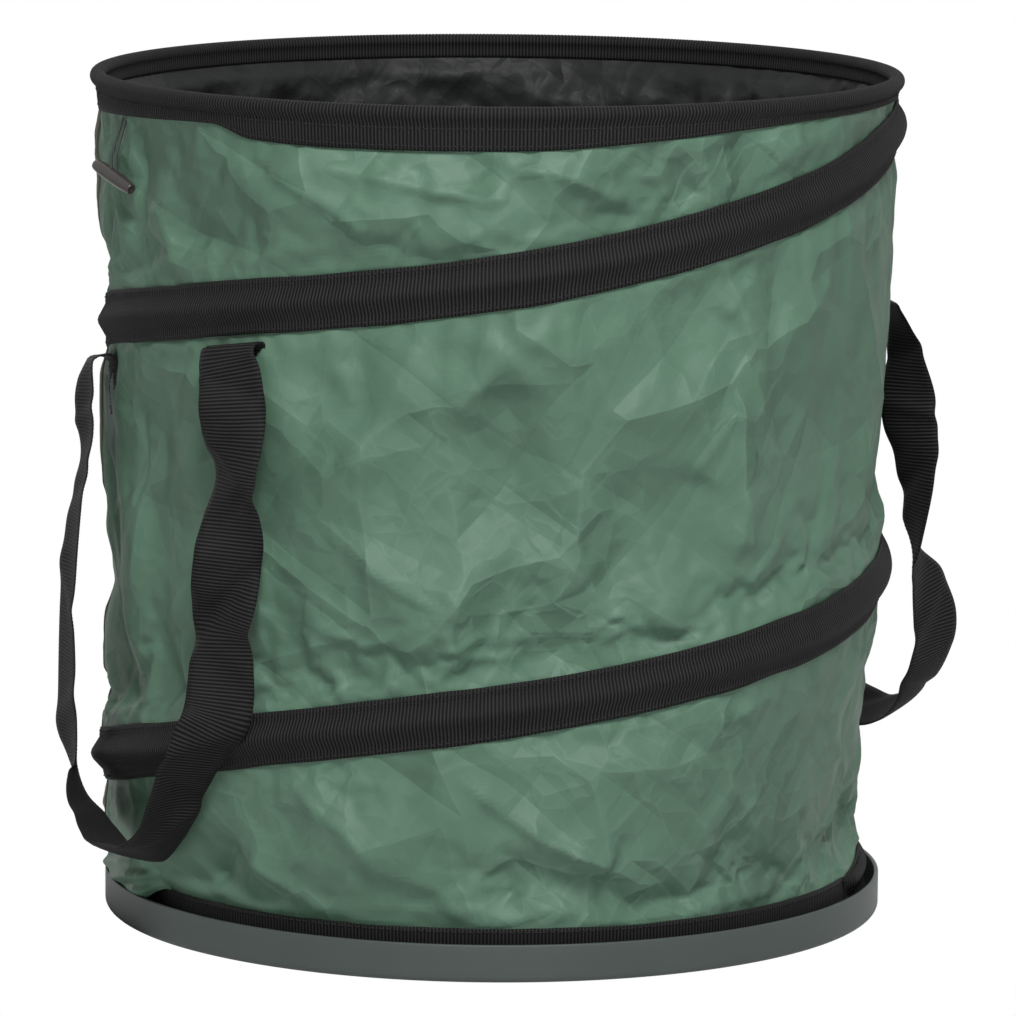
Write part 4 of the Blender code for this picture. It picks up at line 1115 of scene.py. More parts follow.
def disc_mesh(name, radius, height, relief):
    """Flat disc of cloth with a relief: rings of points from its centre out."""
    share = np.arange(1, DISC_RINGS + 1) / DISC_RINGS
    azimuth = np.arange(DISC_SIDES) * FULL_TURN / DISC_SIDES
    azimuth, share = np.meshgrid(azimuth, share, indexing="ij")
    points = place(azimuth, share * radius, 0.0)
    lift = np.zeros_like(share)
    for size, amount, seed in DISC_CREASES:
        ridge = 1 - np.abs(value_noise(points[..., :2] + 1.0, size, seed))
        lift += amount * ridge**DISC_CREASE_POWER
    points[..., 2] = height + relief * lift * smooth_step(1 - share, 0, DISC_EDGE_SHARE)
    mesh = grid_mesh(name, points, closed=True)
    shape = bmesh.new()
    shape.from_mesh(mesh)
    shape.verts.ensure_lookup_table()
    inner = [shape.verts[i * DISC_RINGS] for i in range(DISC_SIDES)]
    bmesh.ops.contextual_create(shape, geom=inner)
    shape.to_mesh(mesh)
    shape.free()
    mesh.polygons.foreach_set("use_smooth", np.ones(len(mesh.polygons), bool))
    return mesh


FLOOR_CREASES = 0.004


def make_floor():
    """Cloth disc that closes the bag at the foot, and the lining disc on it."""
    mesh = disc_mesh("floor_cloth", FLOOR_HIGH.x, FLOOR_LOW.z + CLOTH / 2, 0.0)
    cloth = piece("floor_cloth", mesh, green_cloth, "base", ("bag_floor",))
    mesh = disc_mesh("floor_liner", LINER_HIGH.x, LINER_HIGH.z, FLOOR_CREASES)
    liner = piece("floor_liner", mesh, black_lining, "base", ("floor_lining",))


# Tapes

STATIONS_PER_RIB = 4
RIB_RELIEF = 0.00028
SELVEDGE = 0.0009


def rib_phase(count):
    """Ribs from the start of a tape to each of its stations."""
    return np.arange(count) / STATIONS_PER_RIB


def rib_height(phase):
    """Rounded rib between narrow valleys: R (1 - |2 frac - 1|^3)."""
    return RIB_RELIEF * (1 - np.abs(2 * (phase % 1) - 1) ** 3)


def normals(points, closed):
    """Unit normals of a grid, d(along) x d(across)."""
    if closed:
        along = np.roll(points, -1, axis=0) - np.roll(points, 1, axis=0)
    else:
        along = np.gradient(points, axis=0)
    across = np.gradient(points, axis=1)
    return unit(np.cross(along, across))


def tape(name, inner, closed, thickness=TAPE):
    """Webbing laid on a surface: inner holds its inner face, rows along it and columns across it.

    Its outer face stands off by the thickness, less the valleys of its ribs. Both edges are closed."""
    rows, columns = inner.shape[:2]
    phase = rib_phase(rows)
    across = run_along(inner[0])
    edge = np.minimum(across, across[-1] - across)
    ribbed = smooth_step(edge, 0.0, SELVEDGE)
    outward = normals(inner, closed)
    lift = thickness - RIB_RELIEF + rib_height(phase)[:, None] * ribbed[None, :]
    outer = inner + outward * lift[..., None]
    points = np.concatenate([inner[:, :1], outer, inner[:, -1:]], axis=1)
    along = np.append(phase, phase[-1] + 1 / STATIONS_PER_RIB) * RIB_PITCH
    across = np.concatenate([[0], across + thickness, [across[-1] + 2 * thickness] * 2])
    return grid_mesh(name, points, closed=closed, lengths=(along, across)), outer, outward


def between(grid, column):
    """A line of a grid at a column that may lie between two."""
    low = int(column)
    return grid[:, low] * (1 - column + low) + grid[:, low + 1] * (column - low)


def even_azimuths(turns, radius):
    """Azimuths at every quarter of a rib, so that whole ribs go round."""
    ribs = round(turns * math.tau * radius / RIB_PITCH)
    return np.arange(ribs * STATIONS_PER_RIB) / (ribs * STATIONS_PER_RIB) * turns * FULL_TURN


def arc(start, end, count):
    """Even angles in radians, from ends in degrees."""
    return np.radians(np.linspace(start, end, count))


# Start, end and count of the angles round a wire
RIM_ROLL = (-35, 215, 16)
BASE_ROLL = (60, -60, 8)
FLANGE_STEPS = 9
INNER_FLANGE_STEPS = 4
BASE_STEPS = 7
# Columns that the stitches follow, the rim's from its outer edge
RIM_STITCHES = (1.4, 6.6)
BASE_STITCHES = (1.0,)
COIL_STITCHES = (1.4, 12.6)


def make_rim_tape():
    """Webbing folded over the rim wire: outer flange, pinched seam, roll, shorter inner flange."""
    azimuth = even_azimuths(1.0, RIM_WIRE_RADIUS)
    foot = flange_foot(azimuth)
    columns = []
    seam = RIM_SHOULDER
    for share in np.linspace(0, 1, FLANGE_STEPS):
        height = foot + (np.maximum(seam, foot + TAPE) - foot) * share
        columns.append(place(azimuth, wall_radius(azimuth, height) + LAYER_GAP, height))
    for angle in arc(*RIM_ROLL):
        radius = RIM_WIRE_RADIUS + ROLL_RADIUS * math.cos(angle)
        columns.append(place(azimuth, radius, RIM_WIRE_HEIGHT + ROLL_RADIUS * math.sin(angle)))
    inner_foot = BAG_HEIGHT - INNER_FLANGE_HEIGHT
    for height in np.linspace(seam, inner_foot, INNER_FLANGE_STEPS):
        columns.append(place(azimuth, wall_radius(azimuth, height) - LINED_WALL - LAYER_GAP, height))
    inner = np.stack(columns, axis=1)[:, ::-1]
    mesh, outer, outward = tape("rim_tape", inner, True)
    piece("rim_tape", mesh, black_webbing, "rim", ("rim_casing",))
    last = outer.shape[1] - 1
    sew_rows("rim_tape_stitches", outer, outward, [last - column for column in RIM_STITCHES], "rim")


def make_base_tape():
    """Webbing round the foot of the wall, over the base wire."""
    azimuth = even_azimuths(1.0, BASE_WIRE_RADIUS)
    top = base_casing_top(azimuth)
    columns = []
    for share in np.linspace(0, 1, BASE_STEPS):
        height = top + (FOOT_SHOULDER - top) * share
        columns.append(place(azimuth, wall_radius(azimuth, height) + LAYER_GAP, height))
    for angle in arc(*BASE_ROLL):
        radius = BASE_WIRE_RADIUS + ROLL_RADIUS * math.cos(angle)
        columns.append(place(azimuth, radius, BASE_WIRE_HEIGHT + ROLL_RADIUS * math.sin(angle)))
    reach = ROLL_RADIUS + WIRE_RADIUS
    for height in (BASE_WIRE_HEIGHT - reach, FLOOR_TOP):
        columns.append(place(azimuth, BASE_WALL_RADIUS + LAYER_GAP, height))
    mesh, outer, outward = tape("base_tape", np.stack(columns, axis=1), True)
    piece("base_tape", mesh, black_webbing, "base", ("base_ring_casing",))
    sew_rows("base_tape_stitches", outer, outward, BASE_STITCHES, "base")


CASING_FOOT = 0.009
EDGE_WANDER = 0.0006
# Size in degrees, and seed
LOWER_WANDER = (7.0, 61)
UPPER_WANDER = (9.0, 62)
TAPE_END = 0.009
EDGE_SHARES = (1.0, 0.75, 0.5, 0.25, 0.0)
# Height against the tent's shoulder, and lift
TENT_SHARES = ((1.0, 0.5), (0.5, 0.85), (0.0, 1.0), (-0.5, 0.85), (-1.0, 0.5))


def make_coil_tape():
    """Webbing tented over the coil wire, flat on the cloth at both edges, twice round the wall."""
    ribs = round((COIL_END - COIL_START) * math.tau * RIM_WIRE_RADIUS / RIB_PITCH)
    turns = np.linspace(COIL_START, COIL_END, ribs * STATIONS_PER_RIB + 1)
    azimuth = turns * FULL_TURN
    centre = coil_height(turns)
    wire = coil_radius(turns)
    below, above = casing_reach(turns)
    length = np.stack([azimuth, 0 * azimuth], axis=1)
    below = below - EDGE_WANDER * (1 + value_noise(length, *LOWER_WANDER))
    above = above - EDGE_WANDER * (1 + value_noise(length, *UPPER_WANDER))
    inside = np.minimum(turns - COIL_START, COIL_END - turns)
    tented = smooth_step(inside, 0.0, TAPE_END)
    crest = WIRE_RADIUS + SEAT_GAP
    shoulder = WIRE_RADIUS + 3 * SEAT_GAP
    foot_below = np.minimum(CASING_FOOT, (shoulder + below) / 2)
    foot_above = np.minimum(CASING_FOOT, (shoulder + above) / 2)
    columns = []

    def on_cloth(offset):
        return place(azimuth, wall_radius(azimuth, centre + offset) + LAYER_GAP, centre + offset)

    for share in EDGE_SHARES:
        columns.append(on_cloth(foot_above + (above - foot_above) * share))
    for offset, lift in TENT_SHARES:
        height = centre + offset * shoulder
        flat = wall_radius(azimuth, height) + LAYER_GAP
        columns.append(place(azimuth, flat + (wire + crest * lift - flat) * tented, height))
    for share in reversed(EDGE_SHARES):
        columns.append(on_cloth(-foot_below - (below - foot_below) * share))
    inner = np.stack(columns, axis=1)
    mesh, outer, outward = tape("coil_tape", inner, False)
    band = piece("coil_tape", mesh, black_webbing, "base", ("coil_casing",))
    gather(band)
    gather(sew_rows("coil_tape_stitches", outer, outward, COIL_STITCHES, "base"))


WIRE_END = 0.010
WIRE_STEPS = 420
WIRE_SIDES = 12
WIRE_END_SHARE = 0.02


def make_coil_wire():
    """Free turns of the spring: a round wire, closed at its ends."""
    turns = np.linspace(COIL_START + WIRE_END, COIL_END - WIRE_END, WIRE_STEPS)
    turns = np.concatenate([turns[:1], turns, turns[-1:]])
    centre = place(turns * FULL_TURN, coil_radius(turns), coil_height(turns))
    outwards = place(turns * FULL_TURN, 1.0, 0.0)
    around = np.linspace(0, math.tau, WIRE_SIDES, endpoint=False)[None, :, None]
    thickness = np.full(len(turns), WIRE_RADIUS)
    thickness[[0, -1]] *= WIRE_END_SHARE
    ring = outwards[:, None] * np.cos(around) + UP * np.sin(around)
    points = centre[:, None] + thickness[:, None, None] * ring
    mesh = grid_mesh("coil_spring_wire", points, closed_across=True)
    gather(piece("coil_spring_wire", mesh, steel, "base", ("coil_wire",)))


# Stitches

STITCH_LENGTH = 0.0032
STITCH_WIDTH = 0.0009
STITCH_RISE = 0.0004
STITCH_PITCH = 0.0046
TAB_STITCH_LENGTH = 0.0028
TAB_STITCH_PITCH = 0.0038
# Place along a stitch, and thickness there
BEAD_RINGS = ((-0.5, 0.25), (-0.32, 0.9), (0.0, 1.0), (0.32, 0.9), (0.5, 0.25))
BEAD_SIDES = 6


def stitches(name, centres, along, outward, body, length=STITCH_LENGTH):
    """Thread stitches: one rounded bead for each centre, set along its line and raised from the cloth."""
    rings = np.array(BEAD_RINGS)
    angles = np.linspace(0, math.tau, BEAD_SIDES, endpoint=False)
    size = np.ones((len(rings), len(angles)))
    x = rings[:, :1] * size * length
    y = rings[:, 1:] * np.cos(angles)[None] * STITCH_WIDTH / 2
    z = rings[:, 1:] * np.sin(angles)[None] * STITCH_RISE
    across = np.cross(outward, along)
    points = (
        centres[:, None, None]
        + along[:, None, None] * x[None, ..., None]
        + across[:, None, None] * y[None, ..., None]
        + outward[:, None, None] * z[None, ..., None]
    )
    squares = [(i, j) for i in range(len(rings) - 1) for j in range(BEAD_SIDES)]
    one = np.array([[(i, j), (i, j + 1), (i + 1, j + 1), (i + 1, j)] for i, j in squares])
    template = one[..., 0] * BEAD_SIDES + one[..., 1] % BEAD_SIDES
    index = (template[None] + np.arange(len(centres))[:, None, None] * size.size).reshape(-1, 4)
    mesh = bpy.data.meshes.new(name)
    mesh.from_pydata(points.reshape(-1, 3), [], index)
    mesh.polygons.foreach_set("use_smooth", np.ones(len(index), bool))
    mesh.update()
    return piece(name, mesh, black_thread, body)


def stitch_row(line, outward, pitch=STITCH_PITCH):
    """Centres, directions and normals of even stitches along a line of points."""
    length = run_along(line)
    at = np.arange(pitch / 2, length[-1] - pitch / 2, pitch)
    centres = np.stack([np.interp(at, length, line[:, k]) for k in range(3)], axis=1)
    ahead = np.stack([np.interp(at + pitch / 4, length, line[:, k]) for k in range(3)], axis=1) - centres
    ahead = unit(ahead)
    out = np.stack([np.interp(at, length, outward[:, k]) for k in range(3)], axis=1)
    out -= ahead * (out * ahead).sum(axis=1, keepdims=True)
    return centres, ahead, unit(out)


def sew_rows(name, outer, outward, columns, body):
    """Rows of stitches along a tape, at columns of its outer face."""
    rows = [stitch_row(between(outer, column), between(outward, column)) for column in columns]
    return stitches(name, *(np.concatenate(part) for part in zip(*rows)), body)


# Handles: routes as in the solids

STRAP_WIDTH = 0.038
STRAP_THICKNESS = 0.0014
TAB_HEIGHT = 0.030
FOLD_RADIUS = 0.0035
FOLD_GAP = 0.0014
FOLD_GAP_AT_EDGE = 0.0008
FOLD_REACH = 0.035
STRAP_STANDOFF = 0.0105
STRAP_BULGE = 0.020
HANDLE_SPREAD = 20.0
KNOT_STEPS = 48
OUTER_TURN = FOLD_RADIUS + STRAP_THICKNESS

# Drop, spread of the tabs, bulge, and twist in turns
LEFT_STRAP_SHARES = (
    (0.000, 1.00, -0.52, 0.000),
    (0.004, 1.00, -0.12, 0.000),
    (0.022, 1.02, 0.02, 0.000),
    (0.060, 1.08, 0.15, 0.030),
    (0.116, 1.12, 0.30, 0.070),
    (0.183, 1.13, 0.28, 0.000),
    (0.250, 1.12, 0.25, -0.055),
    (0.319, 1.12, 0.30, 0.010),
    (0.385, 1.12, 0.45, 0.100),
    (0.450, 1.09, 0.45, 0.080),
    (0.529, 1.04, 0.30, 0.005),
    (0.600, 1.05, 0.35, 0.060),
    (0.690, 1.05, 0.55, 0.115),
    (0.745, 0.97, 0.75, 0.170),
    (0.807, 0.84, 0.80, 0.210),
    (0.865, 0.71, 0.75, 0.230),
    (0.916, 0.60, 0.65, 0.240),
    (0.960, 0.44, 0.55, 0.230),
    (0.990, 0.22, 0.45, 0.200),
    (1.000, -0.08, 0.40, 0.190),
    (0.985, -0.36, 0.35, 0.180),
    (0.955, -0.60, 0.35, 0.150),
    (0.920, -0.78, 0.40, 0.090),
    (0.880, -0.88, 0.50, 0.030),
    (0.820, -0.90, 0.62, -0.010),
    (0.740, -0.90, 0.68, -0.020),
    (0.600, -0.90, 0.71, -0.012),
    (0.465, -0.92, 0.62, -0.008),
    (0.313, -0.94, 0.43, -0.005),
    (0.225, -0.95, 0.20, 0.012),
    (0.164, -0.95, 0.10, -0.010),
    (0.090, -0.97, 0.10, -0.020),
    (0.022, -1.00, 0.02, 0.000),
    (0.004, -1.00, -0.12, 0.000),
    (0.000, -1.00, -0.52, 0.000),
)
RIGHT_STRAP_SHARES = (
    (0.000, 1.00, -0.52, 0.000),
    (0.004, 1.00, -0.12, 0.000),
    (0.022, 1.00, 0.02, 0.000),
    (0.080, 1.02, 0.15, 0.000),
    (0.200, 1.03, 0.25, 0.030),
    (0.400, 1.00, 0.30, 0.050),
    (0.600, 0.96, 0.45, 0.030),
    (0.780, 0.84, 0.60, 0.080),
    (0.900, 0.62, 0.75, 0.150),
    (0.970, 0.32, 0.85, 0.180),
    (1.000, -0.05, 1.00, 0.180),
    (0.980, -0.42, 1.15, 0.170),
    (0.920, -0.72, 1.30, 0.160),
    (0.830, -0.92, 1.40, 0.155),
    (0.740, -0.98, 1.38, 0.155),
    (0.650, -1.00, 1.08, 0.110),
    (0.560, -1.00, 0.80, 0.020),
    (0.430, -1.00, 0.74, -0.050),
    (0.355, -1.00, 0.68, -0.075),
    (0.290, -1.00, 0.55, -0.120),
    (0.220, -1.00, 0.45, -0.120),
    (0.150, -1.00, 0.38, -0.070),
    (0.080, -1.00, 0.24, -0.030),
    (0.022, -1.00, 0.02, 0.000),
    (0.004, -1.00, -0.12, 0.000),
    (0.000, -1.00, -0.52, 0.000),
)


class Handle:
    """One handle: its side, the azimuth of its middle, its fold height, slant, drop and route."""

    def __init__(self, side, centre, middle, tilt, drop, shares):
        self.side = side
        self.centre = centre
        self.middle = middle
        self.tilt = tilt
        self.drop = drop
        self.shares = shares

    def fold_height(self, azimuth):
        """Height of the fold line, which slants along the wall."""
        return self.middle + self.tilt * (self.centre - azimuth) / HANDLE_SPREAD


LEFT_CENTRE = 149.0
LEFT_BELOW_COIL = 0.0252
LEFT_TILT = 0.012
LEFT_DROP = 0.2830
RIGHT_CENTRE = 329.0
RIGHT_BELOW_TOP = 0.1410
RIGHT_DROP = 0.2570
LEFT_MIDDLE = float(coil_height(LEFT_CENTRE / FULL_TURN)) - LEFT_BELOW_COIL
LEFT = Handle("left", LEFT_CENTRE, LEFT_MIDDLE, LEFT_TILT, LEFT_DROP, LEFT_STRAP_SHARES)
RIGHT = Handle("right", RIGHT_CENTRE, BAG_HEIGHT - RIGHT_BELOW_TOP, 0.0, RIGHT_DROP, RIGHT_STRAP_SHARES)


def strap_start(azimuth, top):
    """Where the strap leaves the fold at the top of a tab."""
    wall = wall_radius(azimuth, top)
    half_width = STRAP_WIDTH / 2 / wall
    radius = wall * np.cos(half_width) + LAYER_GAP + FOLD_RADIUS + STRAP_THICKNESS + FOLD_GAP
    return place(azimuth, radius, top + FOLD_RADIUS + STRAP_THICKNESS / 2)


def strap_route(handle):
    """Centre line and twist of a strap at every quarter of a rib: a smooth curve through its knots."""
    hang = RIM_WIRE_RADIUS - FOLD_RADIUS + STRAP_STANDOFF
    knots = []
    for down, spread, bulge, twist in handle.shares:
        side = 1 if spread > 0 else -1
        fold = handle.middle + side * handle.tilt * (1 - down)
        height = fold + FOLD_RADIUS + STRAP_THICKNESS / 2 - handle.drop * down
        azimuth = handle.centre - spread * HANDLE_SPREAD
        knots.append((*place(azimuth, hang + bulge * STRAP_BULGE, height), twist))
    knots = np.array(knots)
    for end, side in ((0, 1), (-1, -1)):
        start = strap_start(handle.centre - side * HANDLE_SPREAD, handle.middle + side * handle.tilt)
        knots[end, :3] = start
    padded = np.vstack([2 * knots[0] - knots[1], knots, 2 * knots[-1] - knots[-2]])
    before, start, end, after = (padded[k : len(padded) - 3 + k][:, None] for k in range(4))
    u = np.linspace(0, 1, KNOT_STEPS, endpoint=False)[None, :, None]
    bend = (2 * before - 5 * start + 4 * end - after) * u**2
    turn = (3 * start - before - 3 * end + after) * u**3
    fine = ((2 * start + (end - before) * u + bend + turn) / 2).reshape(-1, 4)
    fine = np.vstack([fine, knots[-1]])
    length = run_along(fine[:, :3])
    count = round(length[-1] / RIB_PITCH) * STATIONS_PER_RIB + 1
    even = np.linspace(0, length[-1], count)
    return np.stack([np.interp(even, length, fine[:, k]) for k in range(4)], axis=1)


def fold_edge(handle, side, azimuth):
    """Direction of the strap's end: along the wall, slanted like the fold line."""
    outwards = place(azimuth, 1.0, 0.0)
    slope = -handle.tilt / (math.radians(HANDLE_SPREAD) * RIM_WALL_RADIUS)
    skew = 2 * (FOLD_GAP - FOLD_GAP_AT_EDGE) / STRAP_WIDTH
    return unit(np.cross(outwards, UP) + UP * slope + outwards * side * skew)


def strap_frames(handle, route):
    """Directions across the strap and out of its face, all along its route."""
    path = route[:, :3]
    along = unit(np.gradient(path, axis=0))
    outwards = unit(path * LEVEL)
    from_front = np.linalg.norm(path - path[0], axis=1)
    from_back = np.linalg.norm(path - path[-1], axis=1)
    near_fold = np.clip(1 - np.minimum(from_front, from_back) / FOLD_REACH, 0, 1)[:, None]
    across = unit(np.cross(along, outwards + UP * near_fold))
    for side, mine in ((1, from_front < from_back), (-1, from_front >= from_back)):
        edge = fold_edge(handle, side, handle.centre - side * HANDLE_SPREAD)
        toward = edge * np.sign(across @ edge)[:, None] - across
        across = np.where(mine[:, None], across + toward * near_fold, across)
    across = unit(across)
    face = np.cross(across, along)
    angle = (math.tau * route[:, 3])[:, None]
    edge = across * np.cos(angle) + face * np.sin(angle)
    return edge, unit(np.cross(edge, along))


STRAP_COLUMNS = 11

# Folds in each strap: place along it, slant, height and width, in millimetres but for the slant
LEFT_STRAP_FOLDS = (
    (15, 0.30, 1.3, 4),
    (27, -0.50, -1.2, 5),
    (48, 0.80, 1.8, 6),
    (72, -0.90, 1.8, 6),
    (96, 0.90, -2.0, 7),
    (148, 1.20, -3.4, 8),
    (176, -0.70, 2.0, 9),
    (226, 0.80, 1.8, 8),
    (262, -0.60, -1.8, 7),
    (300, 1.10, 2.2, 8),
    (345, 0.60, 2.0, 9),
    (400, -0.80, -2.0, 9),
    (470, 0.60, 1.8, 10),
    (540, -0.70, 1.8, 9),
    (600, 0.50, -1.6, 8),
    (640, 0.30, 1.3, 5),
)
RIGHT_STRAP_FOLDS = (
    (20, 0.30, 1.2, 5),
    (70, -0.60, 1.6, 7),
    (130, 0.70, -1.8, 8),
    (210, -0.60, 1.8, 9),
    (300, 0.80, 2.0, 9),
    (380, -0.70, -2.0, 8),
    (440, 0.90, 2.0, 8),
    (478, 0.60, -2.2, 7),
    (520, -0.70, 2.0, 7),
    (560, 0.20, -2.6, 5),
    (592, -0.30, 1.4, 5),
)
CUPPING = 0.0016
CUPPING_SIZE = 0.055
CUPPING_SEED = 71
FOLD_PART = 0.013


def strap_relief(phase, folds, total):
    """How far each place of a strap bends out of its plane.

    It is the sum of the drawn folds, each h exp(-(d / w)^2) from a slanted line, and of a slow cupping
    across the width. Both fade out at the sewn ends."""
    run = phase[:, None] * RIB_PITCH
    share = np.linspace(-1, 1, STRAP_COLUMNS)[None]
    across = share * STRAP_WIDTH / 2
    cupped = value_noise(np.stack([run, 0 * run], axis=-1), CUPPING_SIZE, CUPPING_SEED)
    relief = CUPPING * cupped * (1 - 2 * share**2)
    for middle, slant, height, width in folds:
        away = (run - middle * MM - slant * across) / (width * MM)
        relief = relief + height * MM * np.exp(-(away**2))
    return relief * smooth_step(np.minimum(run, total - run), FOLD_PART / 2, FOLD_PART * 1.5)


SELVEDGE_SHARE = 0.35
SELVEDGE_ROUND = 0.001


def strap_lengths(phase, share):
    """Lengths for the UV map of a strap's skin: along its ribs, and across its two faces."""
    along = np.append(phase, phase[-1] + 1 / STATIONS_PER_RIB) * RIB_PITCH
    across = (share + 1) * STRAP_WIDTH / 2
    return along, np.concatenate([across, across[::-1], across[:1]])


def webbing_band(path, edge, face, phase, relief):
    """Closed skin of a strap: ribbed on both faces, round at its selvedges."""
    share = np.linspace(-1, 1, STRAP_COLUMNS)
    inset = (1 - np.abs(share)) * STRAP_WIDTH / 2
    ribbed = smooth_step(inset, 0.0, SELVEDGE)
    full = STRAP_THICKNESS / 2 - RIB_RELIEF
    body = full * (SELVEDGE_SHARE + (1 - SELVEDGE_SHARE) * smooth_step(inset, 0.0, SELVEDGE_ROUND))
    lift = body[None] + rib_height(phase)[:, None] * ribbed[None]
    middle = path[:, None] + edge[:, None] * (share * STRAP_WIDTH / 2)[None, :, None]
    front = middle + face[:, None] * (relief + lift)[..., None]
    back = middle + face[:, None] * (relief - lift)[..., None]
    return np.concatenate([front, back[:, ::-1]], axis=1), strap_lengths(phase, share)


def make_strap(handle):
    """The free strap: a short part at each fold, and the loop between them."""
    route = strap_route(handle)
    edge, face = strap_frames(handle, route)
    path = route[:, :3]
    phase = rib_phase(len(path))
    folds = LEFT_STRAP_FOLDS if handle.side == "left" else RIGHT_STRAP_FOLDS
    relief = strap_relief(phase, folds, phase[-1] * RIB_PITCH)
    count = round(FOLD_PART / RIB_PITCH * STATIONS_PER_RIB)
    node = f"handle_strap_{handle.side}"
    body = f"handle_{handle.side}"
    parts = (
        ("fold_front", slice(0, count + 1), path[0]),
        ("loop", slice(count, len(path) - count), None),
        ("fold_back", slice(len(path) - count - 1, len(path)), path[-1]),
    )
    for part, span, start in parts:
        points, lengths = webbing_band(path[span], edge[span], face[span], phase[span], relief[span])
        mesh = grid_mesh(f"handle_{handle.side}_{part}", points, closed_across=True, lengths=lengths)
        if start is None:
            loop = piece(mesh.name, mesh, black_webbing, body, (node,))
            axis = np.cross(path[-1] - path[0], place(handle.centre, 1.0, 0.0))
            axis = unit(axis) * np.sign(axis[2])
            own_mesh(loop)
            continue
        fold = piece(mesh.name, mesh, black_webbing, None)
        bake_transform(fold)


TAB_INSET = 0.0045
TAB_LINE_POINTS = 30
MEETING_STEPS = 3


def make_tab(handle, end, azimuth):
    """Sewn end of the strap: flat on the wall under a box of stitches, then a quarter turn out."""
    side = 1 if end == "front" else -1
    base = float(wall_radius(azimuth, handle.fold_height(azimuth) - TAB_HEIGHT / 2))
    half_width = math.degrees(STRAP_WIDTH / 2 / base)
    share = np.linspace(-1, 1, STRAP_COLUMNS)
    at = azimuth + half_width * share
    top = handle.fold_height(at)
    flat_steps = round(TAB_HEIGHT / RIB_PITCH) * STATIONS_PER_RIB
    turn_steps = round(math.pi / 2 * OUTER_TURN / RIB_PITCH) * STATIONS_PER_RIB
    rows = []
    for step in range(flat_steps):
        height = top - TAB_HEIGHT * (1 - step / flat_steps)
        rows.append(place(at, wall_radius(at, height) + LAYER_GAP, height))
    rim = wall_radius(at, top) + LAYER_GAP
    bow = base * (1 - np.cos(np.radians(at - azimuth)))
    straighten = base * (1 - math.cos(math.radians(half_width))) - bow
    for step in range(turn_steps + 1):
        angle = math.pi / 2 * step / turn_steps
        out = rim + OUTER_TURN * (1 - math.cos(angle)) - straighten * step / turn_steps
        rows.append(place(at, out, top + OUTER_TURN * math.sin(angle)))
    start = strap_start(azimuth, handle.fold_height(azimuth))
    meet = start + fold_edge(handle, side, azimuth) * (share[:, None] * STRAP_WIDTH / 2)
    if np.linalg.norm(meet[0] - rows[-1][0]) > np.linalg.norm(meet[-1] - rows[-1][0]):
        meet = meet[::-1]
    meet = meet + UP * STRAP_THICKNESS / 2
    last = rows[-1]
    for step in range(1, MEETING_STEPS + 1):
        rows.append(last + (meet - last) * step / MEETING_STEPS)
    inner = np.stack(rows)
    outward = normals(inner, False)
    if outward[0, STRAP_COLUMNS // 2] @ place(azimuth, 1.0, 0.0) < 0:
        inner = inner[:, ::-1]
        outward = -outward[:, ::-1]
    phase = rib_phase(len(inner))
    inset = (1 - np.abs(share)) * STRAP_WIDTH / 2
    ribbed = smooth_step(inset, 0.0, SELVEDGE)
    lift = STRAP_THICKNESS - RIB_RELIEF + rib_height(phase)[:, None] * ribbed[None]
    outer = inner + outward * lift[..., None]
    points = np.concatenate([outer, inner[:, ::-1]], axis=1)
    name = f"handle_{handle.side}_tab_{end}"
    mesh = grid_mesh(name, points, closed_across=True, lengths=strap_lengths(phase, share))
    mount = f"handle_mount_{handle.side}"
    piece(name, mesh, black_webbing, mount, (f"handle_tab_{handle.side}_{end}",))
    sew_tab(name + "_stitches", outer[:flat_steps], outward[:flat_steps], mount)


def sew_tab(name, outer, outward, mount):
    """A box of stitches with a cross in it, on the flat part of a tab."""
    low = round(TAB_INSET / TAB_HEIGHT * len(outer))
    high = len(outer) - 1 - low // 2
    left = TAB_INSET / STRAP_WIDTH * (STRAP_COLUMNS - 1)
    right = STRAP_COLUMNS - 1 - left
    corners = ((low, left), (low, right), (high, right), (high, left))
    lines = [(corners[k], corners[(k + 1) % 4]) for k in range(4)]
    lines += [(corners[0], corners[2]), (corners[1], corners[3])]
    found = []
    for (i0, j0), (i1, j1) in lines:
        row = np.round(np.linspace(i0, i1, TAB_LINE_POINTS)).astype(int)
        column = np.linspace(j0, j1, TAB_LINE_POINTS)
        low_column = np.floor(column).astype(int)
        high_column = np.minimum(low_column + 1, STRAP_COLUMNS - 1)
        part = (column - low_column)[:, None]
        line = outer[row, low_column] * (1 - part) + outer[row, high_column] * part
        found.append(stitch_row(line, outward[row, low_column], TAB_STITCH_PITCH))
    sewn = (np.concatenate(part) for part in zip(*found))
    stitches(name, *sewn, mount, TAB_STITCH_LENGTH)


# Toggles on their elastic loops

ELASTIC_DIAMETER = 0.0018
ELASTIC_SPREAD = 0.0044
ELASTIC_DROP = 0.0330
ELASTIC_STRAIGHT = 0.0095
ELASTIC_TUCK = 0.0013
ELASTIC_ABOVE_PIVOT = 0.00035
TOGGLE_LENGTH = 0.034
TOGGLE_DIAMETER = 0.0082
TOGGLE_END_DIAMETER = 0.0052
TOGGLE_TILT = -20.0
TOGGLE_TURN = 18.0
LEFT_TOGGLE = 156.0
RIGHT_TOGGLE = 336.0
ELASTIC_BEND_POINTS = 9
ELASTIC_ROUNDNESS = 4


